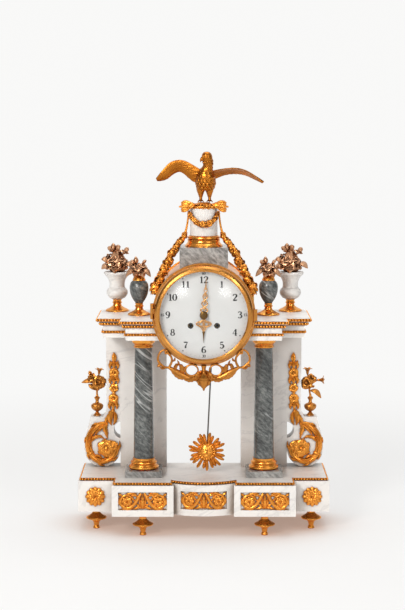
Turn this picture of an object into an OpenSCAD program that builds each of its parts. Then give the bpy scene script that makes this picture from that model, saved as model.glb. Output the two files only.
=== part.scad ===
// Portico clock: a marble temple front with a drum clock, gilt mounts and a sunburst pendulum.
// X runs across the front, +Y to the back and +Z up. The origin is on the table under the middle.

/* [Base] */
// Height of the turned feet
foot_h = 32; // [24:0.5:40]
// Radius of the widest disc of a foot
foot_r = 16.5; // [12:0.5:20]
// Height of the marble base block
block_h = 49; // [40:0.5:60]
// Thickness of the slab on the base block
top_h = 4.5; // [3:0.1:8]
// Step from the block's face back to the slab's edge
top_inset = 4.6; // [2.5:0.1:6]
// Marble beyond the scrolled consoles at each end
wing_margin = 4.4; // [3:0.1:12]
// Front face of the end wings, ahead of the middle
wing_front = 43; // [38:0.5:55]
// Front face of the bays under the columns
bay_front = 78; // [70:0.5:84]
// Half the width of a bay under a column
bay_half = 48.25; // [42:0.25:48.5]
// Front of the bow between the bays
bow_front = 76; // [70:0.5:80]
// Depth of the bow over its chord
bow_rise = 14; // [6:0.5:20]
// Depth of the sunk panels that hold the friezes
panel_sink = 3; // [2:0.1:4]
// Back face of the block
base_back = 80; // [76:0.5:84]
// Thickness of the beaded gilt strips
bead_t = 1.6; // [1:0.1:2.4]

/* [Columns] */
// Distance of each column from the middle
col_x = 95.5; // [92:0.5:99]
// Column axis, ahead of the middle
col_front = 11; // [5:0.5:18]
// Side of the square plinth
plinth_w = 58; // [52:0.5:62]
// Height of the plinth
plinth_h = 10; // [7:0.5:14]
// Height of the gilt column base
col_base_h = 17.5; // [14:0.5:22]
// Radius of the shaft at its foot
shaft_r = 16.3; // [13:0.1:18]
// Radius of the shaft at its neck
neck_r = 13.8; // [11:0.1:15]
// Height of the gilt capital
cap_h = 18.5; // [14:0.5:24]
// Radius of the iron tie rods
tie_r = 3; // [2:0.1:4]

/* [Pilasters and consoles] */
// Inner face of the pilaster, from the middle
pil_in = 60.5; // [56:0.5:64]
// Width of the pilaster
pil_w = 75; // [70:0.5:80]
// Front face of the pilasters and consoles, behind the middle
pil_front = 46; // [40:0.5:52]
// Width of the console's upright
console_w = 22.5; // [18:0.5:26]
// Radius of the scroll at the console's foot
scroll_r = 29.3; // [26:0.1:32]
// Height of the console's shoulder over the base
shoulder_h = 82; // [74:0.5:92]

/* [Entablature] */
// Height of the lowest course
architrave_h = 7; // [5:0.5:10]
// Height of the course behind the lowest beading
fillet_h = 4.5; // [3.5:0.5:7]
// Height of the plain course
frieze_h = 8; // [6:0.5:12]
// Height of the course under the slab
cornice_h = 6; // [4:0.5:9]
// Height of the top slab
slab_h = 6; // [4:0.5:9]
// How far the slab stands over the plain course
slab_over = 8; // [6:0.5:10]
// How far the course under the slab stands out
cornice_over = 3; // [2:0.5:5]
// Front of the entablature over a column
ent_front = 72; // [66:0.5:73]
// Front of the entablature's outer wing
ent_wing = 37; // [30:0.5:45]
// Outer end of the entablature's column bay
ent_bay = 121; // [116:0.5:126]

/* [Urns] */
// Marble vase axis, from the middle
campana_x = 140; // [136:0.5:142]
// Marble vase axis, behind the middle
campana_y = 56; // [52:0.5:57]
// Radius of the marble vase at its lip
campana_r = 21.4; // [18:0.2:22]
// Height of the marble vase without its foot
campana_h = 45; // [38:0.5:52]
// Grey vase axis, from the middle
ovoid_x = 102.5; // [101:0.5:106]
// Grey vase axis, behind the middle
ovoid_y = 3; // [-4:0.5:10]
// Largest radius of the grey vase
ovoid_r = 15; // [13:0.2:17]
// Height of the grey vase without foot and collar
ovoid_h = 36; // [30:0.5:42]
// Height of the gilt feet under the marble and the grey vases
urn_foot_h = 19; // [16:0.5:22]

/* [Drum] */
// Height of the dial's middle over the columns
dial_rise = 41.5; // [39:0.5:46]
// Outer radius of the marble drum
drum_r = 77; // [77:0.5:80]
// Wall of the drum
drum_wall = 6; // [5:0.5:6.5]
// Front end of the drum, ahead of the middle
drum_front = 76; // [75:0.5:78]
// Back end of the drum
drum_back = 75; // [72:0.5:78]
// Outer radius of the gilt rings that close the drum
ring_r = 79.5; // [79.3:0.1:81]
// Clearance between the drum and the stones that hold it
seat_gap = 0.1; // [0.05:0.05:0.3]

/* [Bezel and dial] */
// Outer radius of the hinged bezel
bezel_r = 76.7; // [76:0.1:77.5]
// Radius of the glass opening
sight_r = 67.5; // [65:0.5:68]
// Rise of the domed glass
glass_rise = 8.5; // [6:0.5:11]
// Thickness of the glass
glass_t = 2; // [1.5:0.1:2.5]
// Radius of the dial
dial_r = 70; // [69.2:0.1:70.2]
// Thickness of the dial
dial_t = 2.5; // [1.5:0.1:3]
// Radius of the winding holes
wind_hole_r = 4.3; // [3.6:0.1:5]
// Length of the minute hand from its centre
minute_len = 57; // [42:0.5:60]
// Length of the hour hand from its centre
hour_len = 42; // [30:0.5:46]
// Radius of the hinge pins
pin_r = 1.2; // [0.9:0.1:1.5]
// Radial play of pins and arbors in their holes
play = 0.05; // [0.03:0.01:0.09]

/* [Movement] */
// Radius of the movement's plates
plate_r = 48; // [47:0.5:52]
// Thickness of the plates
plate_t = 2.5; // [1.5:0.1:3]
// Space between the plates
plate_gap = 40; // [40:0.5:46]
// Winding arbors, left and right of the middle
wind_x = 20.4; // [20.2:0.1:21.5]
// Winding arbors, under the middle
wind_drop = 17; // [16:0.2:18]
// Tooth module of the trains
tooth_m = 0.5; // [0.45:0.01:0.5]
// Teeth of the great wheels and of the intermediate wheel
great_n = 72; // [72]
// Leaves of the pinions they drive
pinion_n = 12; // [12]
// Teeth of the centre and third wheels
train_n = 60; // [60]
// Leaves of the third and escape pinions
small_n = 10; // [10]
// Teeth of the pin wheel that lifts the hammer
pin_wheel_n = 48; // [48]
// Tip radius of the escape wheel
escape_r = 12; // [11:0.1:12.5]
// Radius of the winding arbors
wind_r = 2.5; // [2:0.1:2.8]
// Radius of the bell
bell_r = 28; // [24:0.5:29]

/* [Pendulum] */
// Pendulum pivot, right of the middle
pivot_x = 18; // [14:0.5:19]
// Pendulum pivot, over the dial's middle
pivot_rise = 35; // [34.5:0.1:36]
// Length from the pivot to the middle of the bob
pendulum_len = 264.5; // [250:0.5:266]
// Tilt of the pendulum as it stands, in degrees
pendulum_tilt = 2.8; // [0:0.1:3.5]
// Radius of the sunburst bob over its rays
bob_r = 31; // [26:0.5:32]
// Space between the hanging bob and the base
bob_clear = 4; // [3:0.5:10]
// Radius of the steel rod
rod_r = 1.2; // [0.9:0.1:1.5]

/* [Crest] */
// Width and depth of the crest block
crest_w = 75.4; // [68:0.2:80]
// Top of the crest block over the drum's top
crest_rise = 22.7; // [19:0.1:29]
// Crest axis, ahead of the middle
crest_front = 5; // [0:0.5:10]
// Height of the gilt crest ring
crest_ring_h = 17.3; // [14:0.1:20]
// Radius of the marble crest drum
crest_r = 21.6; // [19:0.1:23]
// Height of the marble crest drum
crest_drum_h = 43; // [36:0.5:50]
// Height of the perch on the crest drum
perch_h = 9; // [7:0.5:12]
// Height of the eagle over its perch
eagle_h = 79; // [70:0.5:90]

/* [Hidden] */
$fn = 64;
small = 0.3;
touch = 0.15;

// Levels, from the table upwards
block_z = foot_h;
top_z = block_z + block_h;
base_z = top_z + top_h;
shaft_z = base_z + plinth_h + col_base_h;
// The columns are as tall as the hanging pendulum needs
shaft_h = pendulum_len + bob_r + bob_clear - pivot_rise - dial_rise - cap_h - col_base_h - plinth_h;
cap_z = shaft_z + shaft_h;
ent_z = cap_z + cap_h;
fillet_z = ent_z + architrave_h;
frieze_z = fillet_z + fillet_h;
cornice_z = frieze_z + frieze_h;
slab_z = cornice_z + cornice_h;
ent_top = slab_z + slab_h;
dial_z = ent_z + dial_rise;
crest_z = dial_z + drum_r + crest_rise;
crest_drum_z = crest_z + crest_ring_h;
perch_z = crest_drum_z + crest_drum_h;
eagle_z = perch_z + perch_h;
block_mid_z = block_z + block_h / 2;

// Places across and in depth
pil_out = pil_in + pil_w;
pil_back = base_back - top_inset;
console_out = pil_out + 2 * scroll_r;
base_half = console_out + wing_margin;
bay_in = col_x - bay_half;
bay_out = col_x + bay_half;
bow_r = (bay_in * bay_in + bow_rise * bow_rise) / (2 * bow_rise);
ent_half = pil_out + console_w;
ent_in = 30;
wing_foot_x = base_half - 27.2;
wing_foot_y = -(wing_front - 23);
bay_foot_y = -(bay_front - 14);
back_foot_y = base_back - 24;
back_foot_x = base_half - 23;
column_places = [[-col_x, -col_front], [col_x, -col_front]];
tie_play = 0.1;

// Depths of the dial and the movement, front to back
ring_lip_t = 3.5;
ring_lip_y = -(drum_front + ring_lip_t);
dial_y = ring_lip_y - dial_t;
ring_y = dial_y - 1;
bezel_y = ring_y - small;
front_plate_y = -(drum_front - 4);
front_plate_back = front_plate_y + plate_t;
back_plate_y = front_plate_back + plate_gap;
back_plate_back = back_plate_y + plate_t;
bore_r = drum_r - drum_wall;
ring_lip_w = 9;
ear_gap = 3;
ring_seat_r = bore_r - ring_lip_w;
back_ring_t = 5;
door_y = drum_back + back_ring_t + small;
door_t = 3;
door_r = 75;
knob_len = 16.5;
hinge_reach = 3;
hinge_r = 2.6;
hinge_x = bezel_r + hinge_reach;
hinge_y = bezel_y - 2.7;
hinge_z = dial_z + 6;
door_hinge_y = door_y + 2.7;
knuckle_h = 8;

// Gear centres around the dial's middle, as [x, z]
great_pr = tooth_m * great_n / 2;
pinion_pr = tooth_m * pinion_n / 2;
train_pr = tooth_m * train_n / 2;
small_pr = tooth_m * small_n / 2;
great_dist = great_pr + pinion_pr;
train_dist = train_pr + small_pr;
centre_at = [0, 0];
going_at = [-wind_x, -wind_drop];
strike_at = [wind_x, -wind_drop];
pallet_at = [pivot_x, pivot_rise];
escape_drop = escape_r + 4;
escape_at = [pivot_x, pivot_rise - escape_drop];
going_wheel_at = meeting(centre_at, going_at, great_dist, great_dist, 1);
third_at = meeting(centre_at, escape_at, train_dist, train_dist, 1);
pin_wheel_at = [-going_wheel_at[0], going_wheel_at[1]];
motion_m1 = 0.5;
motion_m2 = 0.48;
cannon_n = 12;
minute_n = 36;
minute_pinion_n = 10;
hour_n = 40;
minute_wheel_at = [0, motion_m1 * (cannon_n + minute_n) / 2];
bell_at = [-8, 0];
hammer_at = [-33, -27];
hammer_gap = 0.4;
hammer_head_r = 4;
arbor_r = 1.5;
pivot_r = 1;
hour_pipe_r = 3.2;
pillar_r = 3;
pillar_ring = 43;
pillar_angles = [-90, 30, 90, 150];
dial_feet = [[0, 40], [-36, -20], [36, -20]];

// Layers of the going and striking trains, measured back from the front plate
great_layer = 2.5;
great_face = 2;
barrel_len = 15;
wheel_face = 1.5;
pinion_face = 3.5;
second_layer = 22.5;
centre_layer = 28.5;
third_layer = 33.5;
escape_layer = 37;
barrel_r = great_pr - 1.2;

// Points on an arc, from angle a to angle b
function arc(c, r, a, b, n = 10) =
    [for (i = [0 : n]) let (t = a + (b - a) * i / n) [c[0] + r * cos(t), c[1] + r * sin(t)]];

// Points of a cubic curve between two ends and two handles
function curve(p, q, s, t, n = 10) =
    [for (i = [0 : n]) let (u = i / n, v = 1 - u)
        v * v * v * p + 3 * v * v * u * q + 3 * v * u * u * s + u * u * u * t];

function reverse(list) = [for (i = [len(list) - 1 : -1 : 0]) list[i]];
function mirrored(list) = [for (p = reverse(list)) [-p[0], p[1]]];

// Where two circles around a and b meet, on the given side of the line between them
function meeting(a, b, ra, rb, side) =
    let (d = norm(b - a), u = (b - a) / d, along = (d * d + ra * ra - rb * rb) / (2 * d))
    a + along * u + side * sqrt(ra * ra - along * along) * [u[1], -u[0]] * (b[0] < a[0] ? 1 : -1);

function direction(a, b) = atan2(b[1] - a[1], b[0] - a[0]);

// Turn of a gear with n2 teeth that puts it in mesh with one of n1 teeth turned by ph1
function mesh_turn(n1, ph1, n2, toward) =
    toward + 180 - (360 / n2) * (0.5 - n1 * (toward - ph1) / 360);

// Outline of the base, drawn in by e on every face, from the back corner round to the middle
function bow_y(x, e) = -(bow_front - bow_r) - sqrt(pow(bow_r - e, 2) - x * x);
function base_side(e) = concat(
    [[base_half - e, base_back - e], [base_half - e, -(wing_front - e)],
     [bay_out - e, -(wing_front - e)], [bay_out - e, -(bay_front - e)],
     [bay_in + e, -(bay_front - e)]],
    [for (i = [0 : 8]) let (x = (bay_in + e) * (1 - i / 8)) [x, bow_y(x, e)]]);
function base_path(e) = let (s = base_side(e)) concat(s, mirrored([for (i = [0 : len(s) - 2]) s[i]]));

// Outline of the right entablature, standing out by o on its front and end
function ent_path(o) =
    [[ent_half + o, pil_back], [ent_half + o, -(ent_wing + o)], [ent_bay + o, -(ent_wing + o)],
     [ent_bay + o, -(ent_front + o)], [ent_in, -(ent_front + o)]];

module both_sides() { children(); mirror([1, 0, 0]) children(); }
module rod_y(at, y0, y1, r) translate([at[0], y1, at[1]]) rotate([90, 0, 0]) cylinder(r = r, h = y1 - y0);
module flat_y(at, y0, y1) translate([at[0], y1, at[1]]) rotate([90, 0, 0]) linear_extrude(y1 - y0) children();
module turned_y(at, y) translate([at[0], y, at[1]]) rotate([90, 0, 0]) rotate_extrude() children();
module ball(p, r, n = 8) translate(p) sphere(r = r, $fn = n);
module limb(p, q, rp, rq, n = 8) hull() { ball(p, rp, n); ball(q, rq, n); }
module at_dial() translate([0, 0, dial_z]) children();
module gilt() color([0.85, 0.58, 0.2]) children();
module bronze() color([0.5, 0.33, 0.18]) children();
module brass() color([0.8, 0.66, 0.32]) children();
module steel() color([0.5, 0.51, 0.54]) children();
module white_marble() color([0.92, 0.9, 0.88]) children();
module grey_marble() color([0.5, 0.53, 0.54]) children();

// Base and feet
frieze_panel_h = 28;
frieze_panel_w = 76;
frieze_t = 1.4;
scroll_relief = 1.6;
panel_gap = 0.2;
panel_floor_r = bow_r - panel_sink;
bow_frieze_half = asin((bay_in - 11) / bow_r);
bow_plate_half = bow_frieze_half - asin(panel_gap / panel_floor_r);
module bow_piece(r0, r1, h, half) rotate([0, 0, -90 - half])
    rotate_extrude(angle = 2 * half) translate([r0, -h / 2]) square([r1 - r0, h]);

module tie_holes(z0, z1) for (p = column_places) translate([p[0], p[1], z0])
    cylinder(r = tie_r + tie_play, h = z1 - z0);

module base_block() white_marble() difference() {
    translate([0, 0, block_z]) linear_extrude(block_h) polygon(base_path(0));
    tie_holes(block_z - 1, top_z + 1);
    for (s = [-1, 1]) translate([s * col_x, panel_sink - bay_front, block_mid_z]) rotate([90, 0, 0])
        linear_extrude(panel_sink + 1)
            square([frieze_panel_w + 2 * panel_gap, frieze_panel_h + 2 * panel_gap], center = true);
    translate([0, bow_r - bow_front, block_mid_z])
        bow_piece(panel_floor_r, bow_r + 1, frieze_panel_h + 2 * panel_gap, bow_frieze_half);
}

module base_top() white_marble() difference() {
    translate([0, 0, top_z]) linear_extrude(top_h) polygon(base_path(top_inset));
    tie_holes(top_z - 1, base_z + 1);
}

module base_beading() gilt() translate([0, 0, top_z]) linear_extrude(top_h - small)
    polygon(concat(base_path(top_inset - bead_t), reverse(base_path(top_inset))));

module side_frieze() {
    translate([0, panel_sink - bay_front, block_mid_z]) rotate([90, 0, 0]) {
        linear_extrude(frieze_t) square([frieze_panel_w, frieze_panel_h], center = true);
        translate([0, 0, frieze_t]) linear_extrude(scroll_relief) difference() {
            square([frieze_panel_w, frieze_panel_h], center = true);
            square([frieze_panel_w - 3, frieze_panel_h - 3], center = true);
        }
        translate([0, 0, frieze_t]) linear_extrude(scroll_relief) for (s = [-1, 1])
            translate([s * frieze_panel_w / 4, 0]) difference() { circle(r = 10); circle(r = 7.5); }
        for (s = [-1, 1]) translate([s * frieze_panel_w / 4, 0, frieze_t]) cylinder(r = 4, h = scroll_relief);
        translate([0, 0, frieze_t]) linear_extrude(scroll_relief) circle(r = 5);
    }
}
module centre_frieze() translate([0, bow_r - bow_front, block_mid_z]) {
    bow_piece(panel_floor_r, panel_floor_r + frieze_t, frieze_panel_h, bow_plate_half);
    for (s = [-1, 1]) translate([0, 0, s * (frieze_panel_h / 2 - 1)])
        bow_piece(panel_floor_r + frieze_t, panel_floor_r + frieze_t + scroll_relief, 2, bow_plate_half);
    for (a = [-bow_frieze_half / 2, 0, bow_frieze_half / 2]) rotate([0, 0, a]) translate([0, -panel_floor_r, 0])
        rotate([90, 0, 0]) cylinder(r = a == 0 ? 5 : 9, h = frieze_t + scroll_relief);
}
module base_friezes() gilt() {
    for (s = [-1, 1]) translate([s * col_x, 0, 0]) side_frieze();
    centre_frieze();
}

module base_rosettes() gilt() for (s = [-1, 1])
    turned_y([s * wing_foot_x, block_mid_z], -wing_front)
        polygon([[0, 0], [15.5, 0], [15.5, 1.5], [12, 3.4], [8, 2.4], [6, 4.4], [3, 5.4], [0, 5.4]]);

module toupie() rotate_extrude() polygon(concat(
    [[0, 0], [5, 0], [5.4, foot_h * 0.05], [4.9, foot_h * 0.11], [3.9, foot_h * 0.16], [4.5, foot_h * 0.25]],
    [[5.2, foot_h * 0.34], [7, foot_h * 0.39], [7.4, foot_h * 0.43], [foot_r - 2.6, foot_h * 0.5]],
    arc([foot_r - 1.6, foot_h * 0.5 + 1.6], 1.6, -70, 70, 6),
    [[foot_r - 5, foot_h * 0.66], [8, foot_h * 0.74], [5.8, foot_h * 0.82], [5.6, foot_h * 0.9],
     [6.6, foot_h - 1.5], [6.6, foot_h], [0, foot_h]]));
module toupie_feet() gilt() both_sides() {
    translate([col_x, bay_foot_y, 0]) toupie();
    translate([wing_foot_x, wing_foot_y, 0]) toupie();
    translate([back_foot_x, back_foot_y, 0]) toupie();
}

// Columns
module column_plinths() grey_marble() difference() {
    for (p = column_places) translate([p[0] - plinth_w / 2, p[1] - plinth_w / 2, base_z])
        cube([plinth_w, plinth_w, plinth_h]);
    tie_holes(base_z - 1, base_z + plinth_h + 1);
}

module column_base() rotate_extrude() polygon(concat(
    [[tie_r + tie_play, 0], [23.6, 0]],
    arc([20.8, 3], 3, -60, 90, 6),
    [[20.2, 7.2]],
    arc([18.6, col_base_h * 0.6], 2.2, -70, 90, 6),
    [[shaft_r + 0.8, col_base_h * 0.82], [shaft_r + 1.2, col_base_h],
     [tie_r + tie_play, col_base_h]]));
module column_bases() gilt() for (p = column_places)
    translate([p[0], p[1], base_z + plinth_h]) column_base();

module columns() grey_marble() difference() {
    for (p = column_places) translate([p[0], p[1], shaft_z])
        cylinder(r1 = shaft_r, r2 = neck_r, h = shaft_h);
    tie_holes(shaft_z - 1, cap_z + 1);
}

abacus_h = 4;
module column_capital() difference() {
    union() {
        rotate_extrude() polygon(concat(
            [[0, 0], [neck_r + 0.6, 0]],
            arc([neck_r + 0.4, 1.5], 1.5, -80, 90, 6),
            [[neck_r + 0.6, 4.5], [18.2, cap_h * 0.46], [18.8, cap_h * 0.56],
             [20.4, cap_h - abacus_h], [0, cap_h - abacus_h]]));
        translate([-21.5, -21.5, cap_h - abacus_h]) cube([43, 43, abacus_h]);
    }
    translate([0, 0, -1]) cylinder(r = tie_r + tie_play, h = cap_h + 2);
}
module column_capitals() gilt() for (p = column_places) translate([p[0], p[1], cap_z]) column_capital();

tie_nut_h = 4;
tie_end_z = ent_z + architrave_h + fillet_h + frieze_h;
crest_tie_r = 2;
crest_tie_z0 = dial_z + drum_r + 8;
crest_tie_z1 = perch_z + perch_h / 2;
module tie_rods() steel() {
    for (p = column_places) translate([p[0], p[1], 0]) {
        translate([0, 0, block_z]) cylinder(r = tie_r, h = tie_end_z - block_z);
        translate([0, 0, block_z - tie_nut_h]) cylinder(r = 2 * tie_r + 1, h = tie_nut_h, $fn = 6);
    }
    translate([0, -crest_front, crest_tie_z0]) cylinder(r = crest_tie_r, h = crest_tie_z1 - crest_tie_z0);
}

// Pilasters and consoles
module pilasters() white_marble() both_sides() difference() {
    translate([pil_in, pil_front, base_z]) cube([pil_w, pil_back - pil_front, ent_z - base_z]);
    drum_cutter();
}

notch_r = 14;
shoulder_z = base_z + shoulder_h;
scroll_z = base_z + scroll_r;
scroll_x = pil_out + scroll_r;
shoulder_x = console_out - 10;
notch_z = (shoulder_z + scroll_z) / 2 + 5;
module console_outline() difference() {
    polygon(concat(
        [[pil_out, ent_z], [ent_half, ent_z]],
        curve([ent_half, shoulder_z + 22], [ent_half, shoulder_z + 10],
              [ent_half + 2, shoulder_z + 4], [ent_half + 6, shoulder_z]),
        curve([shoulder_x, shoulder_z], [shoulder_x + 3, shoulder_z - 18],
              [console_out, scroll_z + 26], [console_out, scroll_z]),
        arc([scroll_x, scroll_z], scroll_r, 0, -180, 20)));
    translate([pil_out - 3, notch_z]) circle(r = notch_r);
}
module consoles() white_marble() both_sides()
    flat_y([0, 0], pil_front, pil_back) console_outline();

mount_t = 3;
rosette_x = pil_out + 24;
rosette_z = scroll_z - 1;
drop_x = pil_out + 10.5;
drop_low = shoulder_z + 8;
drop_high = ent_z - 34;
drop_count = 8;
c_scroll_r = 24.5;
module console_mount() {
    turned_y([rosette_x, rosette_z], pil_front)
        polygon([[0, 0], [17, 0], [17, 2], [13, 4.4], [9, 3], [6, 5.4], [3, 6.4], [0, 6.4]]);
    flat_y([scroll_x, scroll_z], pil_front - mount_t, pil_front) difference() {
        circle(r = c_scroll_r);
        circle(r = c_scroll_r - 6.5);
        translate([-60, -7]) square([60, 60]);
    }
    flat_y([0, 0], pil_front - mount_t, pil_front)
        polygon(concat(
            curve([drop_x - 4, drop_low], [drop_x - 4, shoulder_z - 6], [drop_x + 2, shoulder_z - 14],
                  [scroll_x + 2, scroll_z + c_scroll_r - 6]),
            curve([scroll_x + 2, scroll_z + c_scroll_r - 0.5], [drop_x + 13, shoulder_z - 12],
                  [drop_x + 4, shoulder_z - 2], [drop_x + 4, drop_low])));
    for (i = [0 : drop_count - 1])
        let (z = drop_low + 6 + i * (drop_high - drop_low - 9) / (drop_count - 1))
            turned_y([drop_x, z], pil_front)
                polygon([[0, 0], [i % 2 == 0 ? 8 : 6.4, 0], [6, 3.6], [3, 5.4], [0, 5.4]]);
    flat_y([drop_x, 0], pil_front - mount_t, pil_front)
        polygon([[-3, drop_low], [3, drop_low], [3, drop_high - 8], [0, drop_high], [-3, drop_high - 8]]);
}
module console_mounts() gilt() both_sides() console_mount();

console_urn_x = (ent_half + 6 + shoulder_x) / 2;
console_urn_y = (pil_front + pil_back) / 2;
module console_urn() translate([console_urn_x, console_urn_y, shoulder_z]) {
    rotate_extrude($fn = 24) polygon([[0, 0], [6.5, 0], [6, 2], [3, 5], [2.6, 8.5], [6, 11], [9.4, 15], [9.2, 18.5],
                              [6, 22], [3.2, 25], [4.2, 29], [2.8, 32], [2.6, 40], [0, 40]]);
    for (f = [[0, 0, 47, 7.5], [-1, 0, 56, 6]]) hull() ball([f[0], f[1], f[2]], f[3]);
    limb([0, 0, 60], [1, 0, 74], 3, 2.6, 6);
    for (a = [0, 120, 240]) limb([0, 0, 73], [5.5 * cos(a), 5.5 * sin(a), 77], 2, 1.2, 6);
    limb([0, 0, 40], [10, -2, 37], 2, 2.4, 6);
    limb([10, -2, 37], [16, -3, 29], 2.4, 1.4, 6);
    limb([2, 0, 49], [14, 0, 55], 1.4, 3, 6);
    limb([14, 0, 55], [20, 0, 51], 3, 1.2, 6);
}
module console_urns() gilt() both_sides() console_urn();

// Entablature
module drum_cutter() {
    rod_y([0, dial_z], -120, 120, drum_r + seat_gap);
    rod_y([0, dial_z], -120, -drum_front + seat_gap, ring_r + seat_gap);
    rod_y([0, dial_z], drum_back - seat_gap, 120, ring_r + seat_gap);
}
module course(z, h, over) translate([0, 0, z]) linear_extrude(h)
    polygon(concat([[ent_in, pil_back]], ent_path(over)));
module entablatures() white_marble() both_sides() difference() {
    union() {
        course(ent_z, architrave_h + fillet_h + frieze_h, 0);
        course(cornice_z, cornice_h, cornice_over);
        course(slab_z, slab_h, slab_over);
    }
    drum_cutter();
    translate([col_x, -col_front, ent_z - 1]) cylinder(r = tie_r + tie_play, h = tie_end_z - ent_z + 1);
}

module bead_strip(z, h, over) translate([0, 0, z]) linear_extrude(h)
    polygon(concat(ent_path(over + bead_t), reverse(ent_path(over))));
module entablature_beading() gilt() both_sides() difference() {
    union() {
        bead_strip(fillet_z, fillet_h - small, 0);
        bead_strip(cornice_z + small, cornice_h - 2 * small, cornice_over);
        bead_strip(slab_z + 0.5, slab_h - 1.5, slab_over);
    }
    drum_cutter();
}

// Vases and flowers on the entablature
module campana() translate([campana_x, campana_y, ent_top + urn_foot_h]) rotate_extrude() polygon(concat(
    [[0, 0], [7, 0], [13, 3]],
    arc([campana_r - 12.8, 11.5], 8.7, -35, 55, 8),
    curve([12.6, 20], [11.6, 26], [12.4, 33], [campana_r - 2.6, campana_h - 6]),
    [[campana_r, campana_h - 3.4], [campana_r, campana_h - 1], [campana_r - 1, campana_h],
     [campana_r - 6, campana_h], [0, campana_h - 8]]));
module campana_urns() white_marble() both_sides() campana();

module ovoid() translate([ovoid_x, ovoid_y, ent_top + urn_foot_h]) rotate_extrude() polygon(concat(
    [[0, 0]],
    curve([5.6, 0], [10, 5], [ovoid_r + 0.6, ovoid_h * 0.4], [ovoid_r, ovoid_h * 0.7]),
    curve([ovoid_r, ovoid_h * 0.72], [ovoid_r - 0.4, ovoid_h * 0.88], [12, ovoid_h - 1.5], [9.6, ovoid_h]),
    [[0, ovoid_h]]));
module ovoid_urns() grey_marble() both_sides() ovoid();

module urn_foot(r, neck) rotate_extrude() polygon([[0, 0], [r, 0], [r, 2], [r - 2.5, 3.6], [r - 7, 5.6],
    [neck + 1, 8.6], [neck, 12], [neck + 1.6, 14], [neck, urn_foot_h - 2.5], [neck + 1, urn_foot_h],
    [0, urn_foot_h]]);
module urn_feet() gilt() both_sides() {
    translate([campana_x, campana_y, ent_top]) urn_foot(18.8, 6.4);
    translate([ovoid_x, ovoid_y, ent_top]) urn_foot(18, 5.6);
}

// One flower head, a leaf on a bent stalk, and the posies made of them
module bloom(p, r) hull() ball(p, r, 8);
module leaf(a, r0, r1, z0, z1, w) rotate([0, 0, a]) {
    limb([r0, 0, z0], [(r0 + r1) / 2, 0, (z0 + z1) / 2 + 3], w * 0.6, w, 6);
    limb([(r0 + r1) / 2, 0, (z0 + z1) / 2 + 3], [r1, 0, z1], w, w * 0.4, 6);
}
campana_posy_z = ent_top + urn_foot_h + campana_h;
module campana_posy() translate([campana_x, campana_y, campana_posy_z]) {
    translate([0, 0, -6]) cylinder(r1 = 2, r2 = 8, h = 8, $fn = 12);
    bloom([0, 0, 10], 11);
    for (i = [0 : 5]) let (a = i * 60 + 20) bloom([12 * cos(a), 12 * sin(a), 6.4], 6.4);
    for (i = [0 : 3]) let (a = i * 90 + 10) bloom([8 * cos(a), 8 * sin(a), 20], 6.2);
    bloom([0, 0, 22], 7);
    bloom([-1, 0, 30], 6);
    limb([0, 0, 30], [-1, 0, 40], 5, 3);
    for (i = [0 : 4]) leaf(i * 72 + 5, 12, 27, 4, -1, 3.4);
    for (i = [0 : 2]) leaf(i * 120 + 50, 8, 21, 18, 24, 3.2);
}
module campana_bouquets() bronze() both_sides() campana_posy();

ovoid_posy_z = ent_top + urn_foot_h + ovoid_h;
module ovoid_posy() translate([ovoid_x, ovoid_y, ovoid_posy_z]) {
    cylinder(r1 = 10, r2 = 8, h = 4, $fn = 16);
    translate([0, 0, 4]) cylinder(r1 = 8, r2 = 4, h = 6, $fn = 16);
    bloom([0, 0, 18], 9);
    for (i = [0 : 4]) let (a = i * 72 + 40) bloom([8 * cos(a), 8 * sin(a), 14], 5.4);
    limb([-2, 0, 24], [-3, 0, 33], 4, 2.4);
    limb([-3, 0, 33], [-3.5, 0, 39], 2.4, 0.8, 6);
    for (i = [0 : 5]) leaf(i * 60 + 10, 6, 21, 13, 4.5, 3);
}
module ovoid_bouquets() bronze() both_sides() ovoid_posy();

// Drum and its rings
slot_x0 = 3;
slot_w = 30;
slot_d = 12;
module drum_case() gilt() difference() {
    rod_y([0, dial_z], -drum_front, drum_back, drum_r);
    rod_y([0, dial_z], -drum_front - 1, drum_back + 1, bore_r);
    translate([slot_x0, -slot_d / 2, dial_z - drum_r - 5]) cube([slot_w, slot_d, 40]);
}

module hinge_barrel(x, y, z0, z1) translate([x, y, z0]) cylinder(r = hinge_r, h = z1 - z0);
module hinge_bore(x, y, r) translate([x, y, hinge_z - 40]) cylinder(r = r, h = 80);
knuckle_gap = 0.3;
ring_bite = 2.4;
knuckle_tab = hinge_x - ring_r + ring_bite;
pin_seat = 0.02;
knuckle_z = [-1.5 * knuckle_h, -0.5 * knuckle_h, 0.5 * knuckle_h, 1.5 * knuckle_h];
module outer_knuckles(x, y, reach_y) for (i = [0, 2]) let (z = hinge_z + knuckle_z[i]) {
    hinge_barrel(x, y, z, z + knuckle_h);
    translate([x > 0 ? x - knuckle_tab : x, min(y, reach_y), z])
        cube([knuckle_tab, abs(reach_y - y), knuckle_h]);
}

module front_ring() gilt() difference() {
    union() {
        turned_y([0, dial_z], -drum_front) polygon([[ring_seat_r, 0], [ring_r, 0],
            [ring_r, -drum_front - ring_y], [dial_r + 0.4, -drum_front - ring_y],
            [dial_r + 0.4, ring_lip_t], [ring_seat_r, ring_lip_t]]);
        outer_knuckles(-hinge_x, hinge_y, ring_y + 1);
    }
    hinge_bore(-hinge_x, hinge_y, pin_r + pin_seat);
}

module rear_ring() gilt() difference() {
    union() {
        turned_y([0, dial_z], drum_back + back_ring_t)
            polygon([[66, 0], [ring_r, 0], [ring_r, back_ring_t], [66, back_ring_t]]);
        outer_knuckles(hinge_x, door_hinge_y, drum_back + back_ring_t - 1);
    }
    hinge_bore(hinge_x, door_hinge_y, pin_r + pin_seat);
}

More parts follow.
